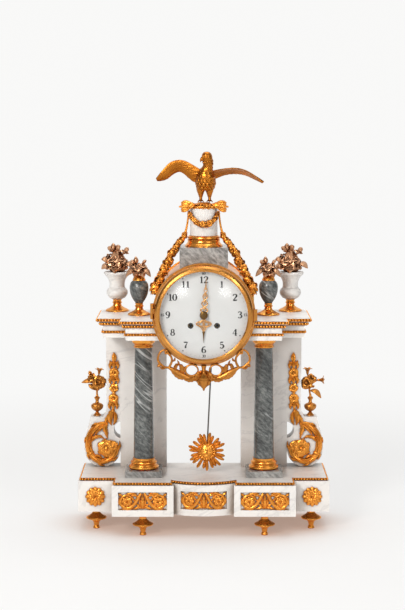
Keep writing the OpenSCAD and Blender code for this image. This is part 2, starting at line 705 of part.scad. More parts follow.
module hinge_pins() steel() {
    translate([-hinge_x, hinge_y, hinge_z + knuckle_z[0]]) cylinder(r = pin_r, h = 3 * knuckle_h);
    translate([hinge_x, door_hinge_y, hinge_z + knuckle_z[0]]) cylinder(r = pin_r, h = 3 * knuckle_h);
}

module middle_knuckle(x, y, inner_x) {
    hinge_barrel(x, y, hinge_z + knuckle_z[1] + knuckle_gap, hinge_z + knuckle_z[2] - knuckle_gap);
    translate([min(x, inner_x), y - 2, hinge_z + knuckle_z[1] + knuckle_gap])
        cube([abs(inner_x - x), 4, knuckle_h - 2 * knuckle_gap]);
}

lip_t = 8.2;
module bezel() gilt() difference() {
    union() {
        turned_y([0, dial_z], bezel_y) polygon([[sight_r + 2, 0], [bezel_r, 0], [bezel_r, 5.5],
            [bezel_r - 1.2, 8.5], [bezel_r - 4, 11], [sight_r + 2, 11.7], [sight_r, 10.6], [sight_r, lip_t],
            [sight_r + 2, lip_t]]);
        middle_knuckle(-hinge_x, hinge_y, -bezel_r + 1);
        translate([bezel_r - 1.5, bezel_y - 4, dial_z - 9]) cube([7, 3.4, 18]);
    }
    hinge_bore(-hinge_x, hinge_y, pin_r + play);
}

glass_r = sight_r + 2 - touch;
glass_in_r = sight_r - small;
glass_bend = (glass_in_r * glass_in_r + glass_rise * glass_rise) / (2 * glass_rise);
function dome(r) = sqrt(glass_bend * glass_bend - r * r) - (glass_bend - glass_rise);
glass_seat = lip_t - touch;
module bezel_glass() color([0.85, 0.92, 0.95, 0.35]) turned_y([0, dial_z], bezel_y) polygon(concat(
    [[glass_r, glass_seat - glass_t], [glass_r, glass_seat], [glass_in_r, glass_seat]],
    [for (i = [0 : 10]) let (r = glass_in_r * (1 - i / 10)) [r, glass_seat + dome(r)]],
    [for (i = [0 : 10]) let (r = (glass_in_r - 1) * i / 10) [r, glass_seat - glass_t + dome(r)]]));

module rear_door() brass() difference() {
    union() {
        turned_y([0, dial_z], door_y + door_t) polygon([[0, 0], [door_r - 2, 0], [door_r, 1.2], [door_r, door_t],
            [0, door_t]]);
        middle_knuckle(hinge_x, door_hinge_y, door_r - 2);
        turned_y([-door_r + 12, dial_z], door_y + door_t + knob_len) polygon([[0, 0], [4, 1], [5, 4], [4, 7],
            [2.2, 9], [2.2, knob_len], [0, knob_len]]);
    }
    hinge_bore(hinge_x, door_hinge_y, pin_r + play);
}

// Crest
crest_y = -crest_front;
module crest_block() grey_marble() difference() {
    translate([-crest_w / 2, crest_y - crest_w / 2, dial_z + drum_r * 0.8])
        cube([crest_w, crest_w, crest_rise + drum_r * 0.2]);
    rod_y([0, dial_z], -120, 120, drum_r + seat_gap);
    translate([0, crest_y, crest_tie_z0]) cylinder(r = crest_tie_r + tie_play, h = 60);
}

module crest_ring() gilt() translate([0, crest_y, crest_z]) rotate_extrude() polygon([
    [crest_tie_r + tie_play, 0], [crest_r + 8, 0], [crest_r + 8, 1.8], [crest_r + 6.8, 3.4],
    [crest_r + 5, 5.2], [crest_r + 3.8, 7.4], [crest_r + 3.4, 9], [crest_r + 4.3, 9.6], [crest_r + 4.3, 10.6],
    [crest_r + 2.6, 11.2], [crest_r + 3.7, 12.2], [crest_r + 4.2, 13.6], [crest_r + 3.8, 15],
    [crest_r + 2.7, crest_ring_h - 1.2], [crest_r + 1.6, crest_ring_h],
    [crest_tie_r + tie_play, crest_ring_h]]);

module crest_drum() white_marble() translate([0, crest_y, crest_drum_z]) rotate_extrude()
    polygon([[crest_tie_r + tie_play, 0], [crest_r, 0], [crest_r, crest_drum_h],
             [crest_tie_r + tie_play, crest_drum_h]]);

// Swag on the front of the crest drum: a hanging curve wrapped round its surface
swag_steps = 12;
function swag_point(i) = let (u = 2 * i / swag_steps - 1, a = -90 + 58 * u, d = crest_r + 3.6)
    [d * cos(a), crest_y + d * sin(a), crest_drum_z + crest_drum_h - 10 - 19 * (1 - u * u)];
module crest_swag() gilt() for (i = [0 : swag_steps - 1])
    let (m = 1 - abs(2 * i / swag_steps - 1)) hull() {
        ball(swag_point(i), 2 + 1.2 * m, 6);
        ball(swag_point(i + 1), 2 + 1.2 * m, 6);
    }

// Garlands: from the crest drum down past the block's edge and on down the flank of the drum
garland_y = crest_y - 8;
garland_gap = 0.3;
garland_r = 9.3;
function on_drum(a, r) = [(drum_r + r + garland_gap) * sin(a), (drum_r + r + garland_gap) * cos(a) + dial_z, r];
garland_path = [[crest_r + 2.2, perch_z - 8.8, 1.6], [crest_r + 5, crest_drum_z + 15.4, 1.8],
    [crest_w / 2 - 6.5, crest_drum_z - 0.3, 3.2], [crest_w / 2 + 3.9, crest_z + 4.5, 5],
    [crest_w / 2 + 12.3, crest_z - 9.7, 6.8], on_drum(41, garland_r - 1.1), on_drum(55.4, garland_r),
    on_drum(66, garland_r - 0.3), on_drum(72.5, garland_r - 4.3)];
module garland() for (i = [0 : len(garland_path) - 2]) let (p = garland_path[i], q = garland_path[i + 1])
    limb([p[0], garland_y, p[1]], [q[0], garland_y, q[1]], p[2], q[2], 8);
module garlands() gilt() both_sides() garland();

module eagle_perch() gilt() translate([0, crest_y, perch_z]) {
    difference() {
        union() {
            cylinder(r = crest_r + 1, h = 2.5, $fn = 32);
            cylinder(r1 = 14, r2 = 9, h = perch_h, $fn = 24);
        }
        translate([0, 0, -1]) cylinder(r = crest_tie_r + tie_play, h = perch_h / 2 + 1 + touch, $fn = 16);
    }
    both_sides() for (i = [0 : 4])
        limb([8 + 6 * i, -5 + i, perch_h * 0.62], [12 + 6 * i, -6 + i, perch_h * 0.62 - 0.6 * i],
             3.6 - 0.2 * i, 3.2 - 0.2 * i, 6);
}

// Eagle: body, head and legs as limbs, each wing a chain of plates between its two edges
wing_skin = 1.5;
module wing(lead, trail) for (i = [0 : len(lead) - 2]) hull() {
    ball(lead[i], wing_skin + 0.8, 6);
    ball(lead[i + 1], wing_skin + 0.5, 6);
    ball(trail[i], wing_skin * 0.7, 6);
    ball(trail[i + 1], wing_skin * 0.7, 6);
}
module eagle() gilt() translate([0, crest_y, eagle_z]) scale(eagle_h / 79) {
    for (s = [-1, 1]) translate([2 + 6.5 * s, 0, 0]) {
        limb([0, 1, 5], [0, 1, 16], 2.4, 4, 8);
        limb([0, 1, 16], [0, 1, 29], 4, 7, 8);
        for (a = [-115, -90, -65, 90]) limb([0, 0, 2.6], [6 * cos(a), 6 * sin(a), 1.6], 1.8, 1.3, 6);
        limb([0, 0, 2.6], [0, 1, 6], 2, 2.4, 6);
    }
    limb([3.4, 2, 34], [4, -1, 44], 12.4, 10.6, 12);
    limb([4, -1, 44], [7, -4, 57], 9.8, 6.4, 12);
    limb([7, -4, 57], [6, -6, 70], 6.4, 6.8, 10);
    limb([6, -6, 71.5], [1, -9, 68.5], 6.8, 4, 10);
    limb([0, -10, 68], [-5, -13, 62.5], 2.8, 0.8, 6);
    limb([3, 10, 34], [3, 28, 28], 6, 4.5, 8);
    wing([[-7, 2, 50], [-22, 3, 60], [-38, 5, 64], [-54, 7, 60], [-66, 9, 50], [-75, 10, 35.5]],
         [[-6, 5, 30], [-20, 9, 36], [-34, 11, 45], [-48, 13, 44], [-60, 13, 38], [-70, 12, 34.5]]);
    wing([[12, 0, 46], [28, -3, 51], [46, -5, 52.5], [64, -6, 47], [80, -7, 39], [93.5, -7, 31.5]],
         [[10, 12, 34], [26, 20, 43], [42, 24, 45], [58, 23, 42], [74, 18, 36], [88, 8, 31]]);
}

// Lower mount: round stems, scrolls and a leaf drop under the bezel, on a strap fixed to the front ring
mount_strap_t = 2;
mount_r = bezel_r + 1;
mount_y = ring_y - 3.4;
stem_path = [[7, -95.6, 3], [15, -97, 3], [27, -95.6, 3.6], [38, -89, 6], [47, -83.6, 5], [54, -80, 3.2]];
hook_path = [[54, -80, 2.6], [65.5, -80.3, 2.8], [72.4, -72.7, 3], [74.7, -64.3, 2.8], [70.6, -56, 2.4],
             [63.5, -52.4, 2.2]];
stalk_path = [[53, -80, 2.6], [50.3, -71.2, 2.2], [51, -63.8, 2], [57, -56.2, 2.2]];
leaf_path = [[36, -90, 3.4], [36.5, -80, 4], [37, -73.5, 3]];
drop_path = [[0, -79, 5, 2.6], [0, -86, 3.4, 2.6], [0, -96, 12, 3], [0, -101, 10.5, 3], [0, -109, 5.4, 2.4],
             [0, -116.4, 0.6, 1.4]];
ring_curl = [for (i = [0 : 12]) let (a = -110 + i * 24, r = 10.8 - 0.16 * i)
    [21.3 + r * cos(a), -84.4 + r * sin(a), 2 - 0.04 * i]];
module stem(path) for (i = [0 : len(path) - 2])
    limb([path[i][0], 0, path[i][1]], [path[i + 1][0], 0, path[i + 1][1]], path[i][2], path[i + 1][2], 6);
module drop_leaf(path) for (i = [0 : len(path) - 2]) hull() for (p = [path[i], path[i + 1]], s = [-1, 1])
    ball([s * p[2], 0, p[1]], p[3] * 0.5, 6);
module lower_mount() gilt() translate([0, 0, dial_z]) difference() {
    union() {
        translate([0, mount_y, 0]) {
            drop_leaf(drop_path);
            both_sides() {
                stem(stem_path);
                stem(hook_path);
                stem(stalk_path);
                stem(leaf_path);
                stem(ring_curl);
            }
        }
        translate([0, ring_y, 0]) rotate([90, 0, 0]) rotate([0, 0, 222]) rotate_extrude(angle = 96)
            translate([mount_r, 0]) square([3.4, mount_strap_t]);
    }
    rod_y([0, 0], ring_y - 20, ring_y + 20, mount_r);
    rod_y([0, 0], ring_y, ring_y + 20, mount_r + 20);
}

// Dial and movement
module winding_holes(y0, y1, r) for (p = [going_at, strike_at]) rod_y(p, y0, y1, r);
module dial() color([0.95, 0.95, 0.93]) at_dial() difference() {
    union() {
        rod_y(centre_at, dial_y, ring_lip_y, dial_r);
        for (p = dial_feet) rod_y(p, ring_lip_y, front_plate_y, arbor_r);
    }
    rod_y(centre_at, dial_y - 1, 0, hour_pipe_r + 1.2);
    winding_holes(dial_y - 1, ring_lip_y + 1, wind_hole_r);
}

ear_w = 12;
module front_plate() brass() at_dial() difference() {
    union() {
        rod_y(centre_at, front_plate_y, front_plate_back, plate_r);
        for (s = [0, 1]) mirror([s, 0, 0])
            translate([plate_r - 8, -drum_front, -ear_w / 2])
                cube([bore_r - ear_gap - plate_r + 8, front_plate_y + drum_front, ear_w]);
        rod_y(minute_wheel_at, front_plate_y - 5.4, front_plate_y, pivot_r);
    }
    winding_holes(front_plate_y - 1, front_plate_back + 1, wind_r + play);
    rod_y(centre_at, front_plate_y - 1, front_plate_back + 1, arbor_r + play);
    for (p = [going_wheel_at, third_at, escape_at, pin_wheel_at, pallet_at])
        rod_y(p, front_plate_y - 1, front_plate_back + 1, pivot_r + play);
}

bell_y = 12;
bell_depth = 20;
hammer_y = bell_y + 1;
hammer_w = 6;
module back_plate() brass() at_dial() difference() {
    union() {
        rod_y(centre_at, back_plate_y, back_plate_back, plate_r);
        rod_y(hammer_at, back_plate_back, hammer_y, arbor_r + 1.5);
        rod_y(hammer_at, hammer_y, hammer_y + hammer_w + small, arbor_r);
        rod_y(bell_at, back_plate_back, bell_y + bell_depth - bell_t - small, arbor_r + 1);
    }
    rod_y(going_at, back_plate_y - 1, back_plate_back + 1, arbor_r + play);
    rod_y(strike_at, back_plate_y - 1, back_plate_back + 1, pipe_r + play);
    rod_y(pallet_at, back_plate_y - 1, back_plate_back + 1, 4);
    for (p = [centre_at, going_wheel_at, third_at, escape_at, pin_wheel_at])
        rod_y(p, back_plate_y - 1, back_plate_back + 1, pivot_r + play);
}

module plate_pillars() brass() at_dial() for (a = pillar_angles)
    rod_y([pillar_ring * cos(a), pillar_ring * sin(a)], front_plate_back, back_plate_y, pillar_r);

cock_y = back_plate_back + 9;
cock_t = 3;
module back_cock() brass() at_dial() difference() {
    union() {
        translate([pivot_x - 12, cock_y, pivot_rise - 5]) cube([24, cock_t, 9]);
        for (s = [-1, 1]) translate([pivot_x + s * 9.5 - 2.5, back_plate_back, pivot_rise - 5])
            cube([5, cock_y - back_plate_back, 9]);
    }
    rod_y(pallet_at, cock_y - 1, cock_y + cock_t + 1, pivot_r + play);
}

// A gear's outline with straight-sided teeth, thin enough to run free in mesh
module gear_outline(n, m, turn) polygon([for (i = [0 : n - 1]) for (q = [[-0.31, -1.15], [-0.1, 0.85], [0.1, 0.85],
    [0.31, -1.15]]) let (a = turn + (i + q[0]) * 360 / n, r = m * (n / 2 + q[1])) [r * cos(a), r * sin(a)]]);
module gear(at, y0, y1, n, m, turn) flat_y(at, y0, y1) gear_outline(n, m, turn);
function layer(d) = front_plate_back + d;

// Teeth are turned into mesh along each train, starting from the centre wheel's pinion
centre_turn = 0;
going_wheel_turn = mesh_turn(pinion_n, centre_turn, great_n, direction(centre_at, going_wheel_at));
going_barrel_turn = mesh_turn(pinion_n, going_wheel_turn, great_n, direction(going_wheel_at, going_at));
third_turn = mesh_turn(train_n, centre_turn, small_n, direction(centre_at, third_at));
escape_turn = mesh_turn(train_n, third_turn, small_n, direction(third_at, escape_at));
pin_wheel_turn = mesh_turn(great_n, 0, pinion_n, direction(strike_at, pin_wheel_at));
minute_wheel_turn = mesh_turn(cannon_n, centre_turn, minute_n, direction(centre_at, minute_wheel_at));
hour_turn = mesh_turn(minute_pinion_n, minute_wheel_turn, hour_n, direction(minute_wheel_at, centre_at));

module pivoted_arbor(at, r) {
    rod_y(at, layer(small), back_plate_y - small, r);
    rod_y(at, front_plate_y + small, layer(small), pivot_r);
    rod_y(at, back_plate_y - small, back_plate_back - small, pivot_r);
}

module great_wheel(at, turn) difference() {
    union() {
        gear(at, layer(great_layer), layer(great_layer + great_face), great_n, tooth_m, turn);
        rod_y(at, layer(great_layer + great_face), layer(great_layer + great_face + barrel_len), barrel_r);
    }
    rod_y(at, layer(0), layer(plate_gap), wind_r + play);
}
module going_barrel() brass() at_dial() great_wheel(going_at, going_barrel_turn);

pipe_r = 4;
count_r = 16;
barrel_end = layer(great_layer + great_face + barrel_len);
count_y = back_plate_back + 1.5;
module strike_barrel() brass() at_dial() {
    great_wheel(strike_at, 0);
    difference() {
        union() {
            rod_y(strike_at, barrel_end, count_y, pipe_r);
            flat_y(strike_at, count_y, count_y + wheel_face) difference() {
                circle(r = count_r);
                for (i = [1 : 11]) rotate(i * (i + 1) / 2 * 360 / 78)
                    translate([count_r - 2.5, -0.6]) square([4, 1.2]);
            }
        }
        rod_y(strike_at, barrel_end - 1, count_y + wheel_face + 1, wind_r + play);
    }
}

arbor_front = dial_y + 1.5;
module winding_square(at) flat_y(at, arbor_front, arbor_front + 6) square([3.4, 3.4], center = true);
module going_arbor() steel() at_dial() {
    winding_square(going_at);
    rod_y(going_at, arbor_front + 6, back_plate_y - small, wind_r);
    rod_y(going_at, back_plate_y - small, back_plate_back, arbor_r);
}
module strike_arbor() steel() at_dial() {
    winding_square(strike_at);
    rod_y(strike_at, arbor_front + 6, count_y + wheel_face + 2, wind_r);
}

module going_wheel() brass() at_dial() {
    pivoted_arbor(going_wheel_at, arbor_r);
    gear(going_wheel_at, layer(great_layer - 1), layer(great_layer + great_face + 1), pinion_n, tooth_m,
         going_wheel_turn);
    gear(going_wheel_at, layer(second_layer), layer(second_layer + wheel_face), great_n, tooth_m, going_wheel_turn);
}

hour_y = dial_y - 3.6;
minute_y = hour_y - 2.8;
hand_t = 0.8;
cannon_y = front_plate_y - 2.8;
module centre_wheel() brass() at_dial() {
    rod_y(centre_at, minute_y - 1.6, back_plate_y - small, arbor_r);
    rod_y(centre_at, back_plate_y - small, back_plate_back - small, pivot_r);
    gear(centre_at, layer(second_layer - 1), layer(second_layer + wheel_face + 1), pinion_n, tooth_m, centre_turn);
    gear(centre_at, layer(centre_layer), layer(centre_layer + wheel_face), train_n, tooth_m, centre_turn);
    gear(centre_at, cannon_y, cannon_y + 2, cannon_n, motion_m1, centre_turn);
}

module third_wheel() brass() at_dial() {
    pivoted_arbor(third_at, arbor_r - 0.3);
    gear(third_at, layer(centre_layer - 1), layer(centre_layer + wheel_face + 1), small_n, tooth_m, third_turn);
    gear(third_at, layer(third_layer), layer(third_layer + wheel_face), train_n, tooth_m, third_turn);
}

escape_n = 30;
module escape_outline() polygon([for (i = [0 : escape_n - 1]) for (q = [[0, 0], [0.2, 3], [0.75, 3], [0.9, 0.4]])
    let (a = (i + q[0]) * 360 / escape_n, r = escape_r - q[1]) [r * cos(a), r * sin(a)]]);
module escape_wheel() brass() at_dial() {
    pivoted_arbor(escape_at, pivot_r);
    gear(escape_at, layer(third_layer - 1), layer(third_layer + wheel_face + 1), small_n, tooth_m, escape_turn);
    flat_y(escape_at, layer(escape_layer), layer(escape_layer + 1.2)) escape_outline();
}

module pin_wheel() brass() at_dial() {
    pivoted_arbor(pin_wheel_at, arbor_r - 0.3);
    gear(pin_wheel_at, layer(great_layer - 1), layer(great_layer + great_face + 1), pinion_n, tooth_m,
         pin_wheel_turn);
    gear(pin_wheel_at, layer(second_layer), layer(second_layer + wheel_face), pin_wheel_n, tooth_m, 0);
    for (i = [0 : 7]) rod_y(pin_wheel_at + 9 * [cos(i * 45), sin(i * 45)], layer(second_layer + wheel_face),
        layer(second_layer + wheel_face + 3), 0.6);
}

module minute_wheel() brass() at_dial() difference() {
    union() {
        gear(minute_wheel_at, cannon_y, cannon_y + 1.6, minute_n, motion_m1, minute_wheel_turn);
        gear(minute_wheel_at, cannon_y - 2.4, cannon_y, minute_pinion_n, motion_m2, minute_wheel_turn);
    }
    rod_y(minute_wheel_at, front_plate_y - 10, front_plate_y, pivot_r + play);
}

hour_wheel_y = cannon_y - 2.2;
module hour_wheel() brass() at_dial() difference() {
    union() {
        gear(centre_at, hour_wheel_y, hour_wheel_y + 1.4, hour_n, motion_m2, hour_turn);
        rod_y(centre_at, hour_y + hand_t, hour_wheel_y, hour_pipe_r);
    }
    rod_y(centre_at, hour_y - 5, front_plate_y, arbor_r + play);
}

// Hands: an open loop, a bar and a leaf point along +Z before turning
minute_angle = 4;
hour_angle = 180.5;
module hand(len, y, hub, bore, loop_at, loop_r) flat_y(centre_at, y, y + hand_t) difference() {
    union() {
        circle(r = hub);
        translate([-0.7, 0]) square([1.4, len - 4]);
        polygon([[-1.1, len - 9], [1.1, len - 9], [0, len]]);
        translate([0, loop_at]) circle(r = loop_r);
        translate([0, loop_at + loop_r * 1.6]) circle(r = loop_r * 0.55);
    }
    circle(r = bore);
    for (s = [-1, 1]) translate([s * loop_r * 0.45, loop_at]) circle(r = loop_r * 0.3);
}
module minute_hand() gilt() at_dial() rotate([0, minute_angle, 0])
    hand(minute_len, minute_y, 5, arbor_r + 0.02, 26, 4.4);
module hour_hand() gilt() at_dial() rotate([0, hour_angle, 0])
    hand(hour_len, hour_y, 6, arbor_r + play, 16, 9);

// Striking work
hammer_head = let (u = [cos(190), sin(190)]) bell_at + (bell_r + hammer_gap + hammer_head_r) * u;
module hammer() steel() at_dial() difference() {
    union() {
        rod_y(hammer_at, hammer_y + small, hammer_y + hammer_w, 4);
        rod_y(hammer_head, hammer_y + small, hammer_y + hammer_w, hammer_head_r);
        flat_y(hammer_at, hammer_y + 2, hammer_y + 4) rotate(direction(hammer_at, hammer_head))
            translate([0, -1]) square([norm(hammer_head - hammer_at), 2]);
    }
    rod_y(hammer_at, hammer_y - 1, hammer_y + hammer_w + 1, arbor_r + play);
}

bell_t = 2;
function bell_curve(r, d) = curve([r, 0], [r, d * 0.5], [r * 0.8, d], [0, d], 12);
module bell() brass() at_dial() turned_y(bell_at, bell_y + bell_depth) mirror([0, 1]) translate([0, -bell_depth])
    polygon(concat(bell_curve(bell_r, bell_depth), reverse(bell_curve(bell_r - bell_t, bell_depth - bell_t))));

// Pallets and pendulum, which swing together about the pallet arbor
rod_y0 = 0;
pallet_t = 1.4;
module tilted() translate([pivot_x, 0, dial_z + pivot_rise]) rotate([0, pendulum_tilt, 0]) children();
module upright() translate([pivot_x, 0, dial_z + pivot_rise]) children();
nib = [10.2, -(escape_drop - 8.6)];
module pallets() steel() upright() {
    rod_y([0, 0], layer(small), cock_y - small, arbor_r - 0.2);
    rod_y([0, 0], front_plate_y + small, layer(small), pivot_r);
    rod_y([0, 0], cock_y - small, rod_y0 + 4, pivot_r);
    flat_y([0, 0], layer(escape_layer) - 0.1, layer(escape_layer) - 0.1 + pallet_t)
        polygon([[-4, 3.4], [4, 3.4], [nib[0] + 2, nib[1] + 4], [nib[0] + 1.4, nib[1]], [nib[0], nib[1]],
                 [nib[0] - 1.4, nib[1] + 3], [3, -1.6], [-3, -1.6], [-nib[0] + 1.4, nib[1] + 3],
                 [-nib[0], nib[1]], [-nib[0] - 1.4, nib[1]], [-nib[0] - 2, nib[1] + 4]]);
}
rod_top = 3;
module pendulum_rod() steel() tilted() {
    difference() {
        rod_y([0, 0], rod_y0 - rod_top, rod_y0 + rod_top, 4);
        rod_y([0, 0], rod_y0 - rod_top - 1, rod_y0 + rod_top + 1, pivot_r + 0.02);
    }
    translate([0, rod_y0, -pendulum_len]) cylinder(r = rod_r, h = pendulum_len - 3);
}

// Sunburst bob: a round mask on a ring of long and short rays, hung on the front of the rod
bob_core = 15;
ray_count = 16;
module pendulum_bob() gilt() tilted() translate([0, rod_y0, -pendulum_len]) rotate([90, 0, 0])
    translate([0, 0, rod_r + play]) {
        rotate_extrude() polygon(concat([[0, 0], [bob_core, 0], [bob_core, 3.2]],
            [for (i = [0 : 6]) let (r = bob_core * 0.86 * cos(i * 15)) [r, 3.2 + 6 * sin(i * 15)]]));
        linear_extrude(2.4) for (i = [0 : ray_count - 1]) rotate(i * 360 / ray_count + 11)
            polygon([[bob_core - 2, -2.6], [(i % 2 == 0 ? bob_r : bob_r - 4) - 3, -2.2],
                     [i % 2 == 0 ? bob_r : bob_r - 4, -0.6], [i % 2 == 0 ? bob_r : bob_r - 4, 0.6],
                     [(i % 2 == 0 ? bob_r : bob_r - 4) - 3, 2.2], [bob_core - 2, 2.6]]);
    }

base_block();
base_top();
base_beading();
base_friezes();
base_rosettes();
toupie_feet();
column_plinths();
column_bases();
columns();
column_capitals();
pilasters();
consoles();
console_mounts();
console_urns();
entablatures();
entablature_beading();
campana_urns();
ovoid_urns();
urn_feet();
campana_bouquets();
ovoid_bouquets();
tie_rods();
drum_case();
front_ring();
rear_ring();
crest_block();
crest_ring();
crest_drum();
crest_swag();
garlands();
eagle_perch();
eagle();
lower_mount();
bezel();
bezel_glass();
hinge_pins();
rear_door();
dial();
front_plate();
back_plate();
plate_pillars();
back_cock();
going_barrel();
going_arbor();
going_wheel();
centre_wheel();
third_wheel();
escape_wheel();
minute_wheel();
hour_wheel();
hour_hand();
minute_hand();
strike_barrel();
strike_arbor();
pin_wheel();
hammer();
bell();
pallets();
pendulum_rod();
pendulum_bob();
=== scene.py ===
import bmesh
import bpy
import numpy as np
from mathutils import Matrix


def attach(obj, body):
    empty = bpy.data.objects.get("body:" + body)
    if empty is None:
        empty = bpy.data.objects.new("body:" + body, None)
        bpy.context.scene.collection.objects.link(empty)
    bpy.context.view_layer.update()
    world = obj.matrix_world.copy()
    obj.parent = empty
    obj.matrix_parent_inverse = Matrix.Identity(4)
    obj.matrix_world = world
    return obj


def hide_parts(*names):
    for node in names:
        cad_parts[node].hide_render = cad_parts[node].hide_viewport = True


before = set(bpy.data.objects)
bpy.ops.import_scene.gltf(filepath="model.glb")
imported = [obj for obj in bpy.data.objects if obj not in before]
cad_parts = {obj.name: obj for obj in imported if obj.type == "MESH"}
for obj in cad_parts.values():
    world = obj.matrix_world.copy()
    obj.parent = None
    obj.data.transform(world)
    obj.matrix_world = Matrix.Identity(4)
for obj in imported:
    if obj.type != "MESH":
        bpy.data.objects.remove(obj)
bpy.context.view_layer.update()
pi = np.pi

# Places that the pieces share, in millimetres
DIAL_Z = 350.0
DIAL_Y = -82.0
CREST_Y = -5.0
EAGLE_Z = 519.0

# A millimetre in metres, which the meshes are kept in
MILLIMETRE = 0.001
# Faces that meet at more than this angle, in degrees, keep a sharp edge
CREASE = 50.0
# Turns a shape with x across, y up and z out of its face, so that the face looks to the viewer
FRONT = np.array([[1.0, 0, 0], [0, 0, -1], [0, 1, 0]])
# Up direction of stems seen from the front, a hair off the axis so that no path runs along it
TO_VIEWER = (0, -1, 0.001)
# Angle from each leaf to the next one round a stem
GOLDEN_ANGLE = 2.39996


# Shapes: points in millimetres, four-sided faces, three-sided faces
def skin(rings, ends=None):
    """Closed skin over rings of points: faces from ring to ring, and a fan to one point at each end."""
    rings = np.asarray(rings, float)
    n, m = rings.shape[:2]
    tips = np.stack([rings[0].mean(0), rings[-1].mean(0)]) if ends is None else np.asarray(ends, float)
    i, k = np.meshgrid(np.arange(n - 1), np.arange(m), indexing="ij")
    k1 = (k + 1) % m
    quads = np.stack([i * m + k, i * m + k1, (i + 1) * m + k1, (i + 1) * m + k], -1).reshape(-1, 4)
    k = np.arange(m)
    k1 = (k + 1) % m
    near = np.stack([np.full(m, n * m), k1, k], -1)
    far = np.stack([np.full(m, n * m + 1), (n - 1) * m + k, (n - 1) * m + k1], -1)
    return np.vstack([rings.reshape(-1, 3), tips]), quads, np.vstack([near, far])


def hoop(rings):
    """Closed skin over rings of points that run back into the first ring, so it has no ends."""
    rings = np.asarray(rings, float)
    n, m = rings.shape[:2]
    i, k = np.meshgrid(np.arange(n), np.arange(m), indexing="ij")
    i1, k1 = (i + 1) % n, (k + 1) % m
    quads = np.stack([i * m + k, i * m + k1, i1 * m + k1, i1 * m + k], -1).reshape(-1, 4)
    return rings.reshape(-1, 3), quads, np.zeros((0, 3), int)


def join(*shapes):
    """Several shapes as one: points end to end, faces counted on from the points before them."""
    counts = np.cumsum([0] + [len(s[0]) for s in shapes])
    return (np.vstack([s[0] for s in shapes]),
            np.vstack([s[1] + c for s, c in zip(shapes, counts)]),
            np.vstack([s[2] + c for s, c in zip(shapes, counts)]))


def moved(shape, at=(0, 0, 0), turn=None, size=1.0):
    """A shape scaled, turned by a matrix whose columns are its new axes, and moved."""
    points = shape[0] * np.asarray(size, float)
    if turn is not None:
        points = points @ np.asarray(turn, float).T
    return points + np.asarray(at, float), shape[1], shape[2]


def copies(shape, at, turns=None, sizes=None):
    """The same shape at many places, each with its own turn and size, worked out as one array."""
    points, quads, tris = shape
    at = np.asarray(at, float)
    n = len(at)
    many = np.repeat(points[None], n, 0)
    if sizes is not None:
        many = many * np.asarray(sizes, float).reshape(n, 1, -1)
    if turns is not None:
        many = np.einsum("nij,nkj->nki", turns, many)
    many = many + at[:, None]
    step = (np.arange(n) * len(points))[:, None, None]
    return many.reshape(-1, 3), (quads[None] + step).reshape(-1, 4), (tris[None] + step).reshape(-1, 3)


def mirrored(shape):
    """The mirror image of a shape across the middle plane."""
    return shape[0] * [-1, 1, 1], shape[1][:, ::-1], shape[2][:, ::-1]


def both(shape):
    """A shape and its mirror image."""
    return join(shape, mirrored(shape))


def unit(v):
    """Vectors divided by their lengths."""
    v = np.asarray(v, float)
    return v / np.maximum(np.linalg.norm(v, axis=-1, keepdims=True), 1e-9)


def full_circle(n):
    """n angles at equal steps once round."""
    return np.arange(n) * 2 * pi / n


def pair(x, y, z):
    """A place on the left and its mirror image on the right."""
    return [(-x, y, z), (x, y, z)]


def about_z(angles):
    """Turn matrices about Z for an array of angles."""
    a = np.atleast_1d(angles)
    c, s, o = np.cos(a), np.sin(a), np.zeros(len(a))
    return np.stack([np.stack([c, -s, o], -1), np.stack([s, c, o], -1), np.stack([o, o, o + 1], -1)], 1)


def facing(direction, spin=0.0):
    """Turn matrices that point a shape's Z along each direction, after a spin about it."""
    z = unit(np.atleast_2d(direction))
    ref = np.where(np.abs(z[:, 2:3]) > 0.95, [[1.0, 0, 0]], [[0, 0, 1.0]])
    x = unit(np.cross(ref, z))
    frame_of = np.stack([x, np.cross(z, x), z], -1)
    return np.einsum("nij,njk->nik", frame_of, about_z(np.broadcast_to(spin, len(z))))


def smooth(points, n):
    """n points of a smooth cubic curve through the given points; further columns such as radii follow."""
    p = np.asarray(points, float)
    p = np.vstack([2 * p[0] - p[1], p, 2 * p[-1] - p[-2]])
    t = np.linspace(0, len(p) - 3 - 1e-9, n)
    i = t.astype(int)
    f = (t - i)[:, None]
    a, b, c, d = p[i], p[i + 1], p[i + 2], p[i + 3]
    return 0.5 * (2 * b + (c - a) * f + (2 * a - 5 * b + 4 * c - d) * f**2
                  + (3 * b - 3 * c + d - a) * f**3)


def square_to(along, up):
    """Up directions made square to the directions along a path."""
    up = np.broadcast_to(np.asarray(up, float), along.shape)
    return unit(up - (up * along).sum(1, keepdims=True) * along)


def directions(path, up):
    """Unit directions across and up at each point of a path, up being square to the path."""
    along = unit(np.gradient(path, axis=0))
    up = square_to(along, up)
    return np.cross(along, up), up


def oval_rings(path, across, up, radius, sides, flat):
    """Oval sections along a path: across times r cos t plus up times flat r sin t."""
    t = full_circle(sides)
    ring = across[:, None] * np.cos(t)[:, None] + up[:, None] * (flat * np.sin(t))[:, None]
    return path[:, None] + radius * ring


def rod(path, radius, up=(0, 0, 1), sides=8, flat=1.0):
    """A stem of oval section along a path; the radius is one number, one a point or one a corner."""
    path = np.asarray(path, float)
    across, up = directions(path, up)
    r = np.asarray(radius, float)
    r = np.broadcast_to(r if r.ndim == 2 else r.reshape(-1, 1), (len(path), sides))[..., None]
    return skin(oval_rings(path, across, up, r, sides, flat))


def closed_rod(path, radius, up=(0, 0, 1), sides=8, flat=1.0):
    """A stem of oval section along a path that runs back into its start."""
    path = np.asarray(path, float)
    along = unit(np.roll(path, -1, 0) - np.roll(path, 1, 0))
    up = square_to(along, up)
    return hoop(oval_rings(path, np.cross(along, up), up, radius, sides, flat))


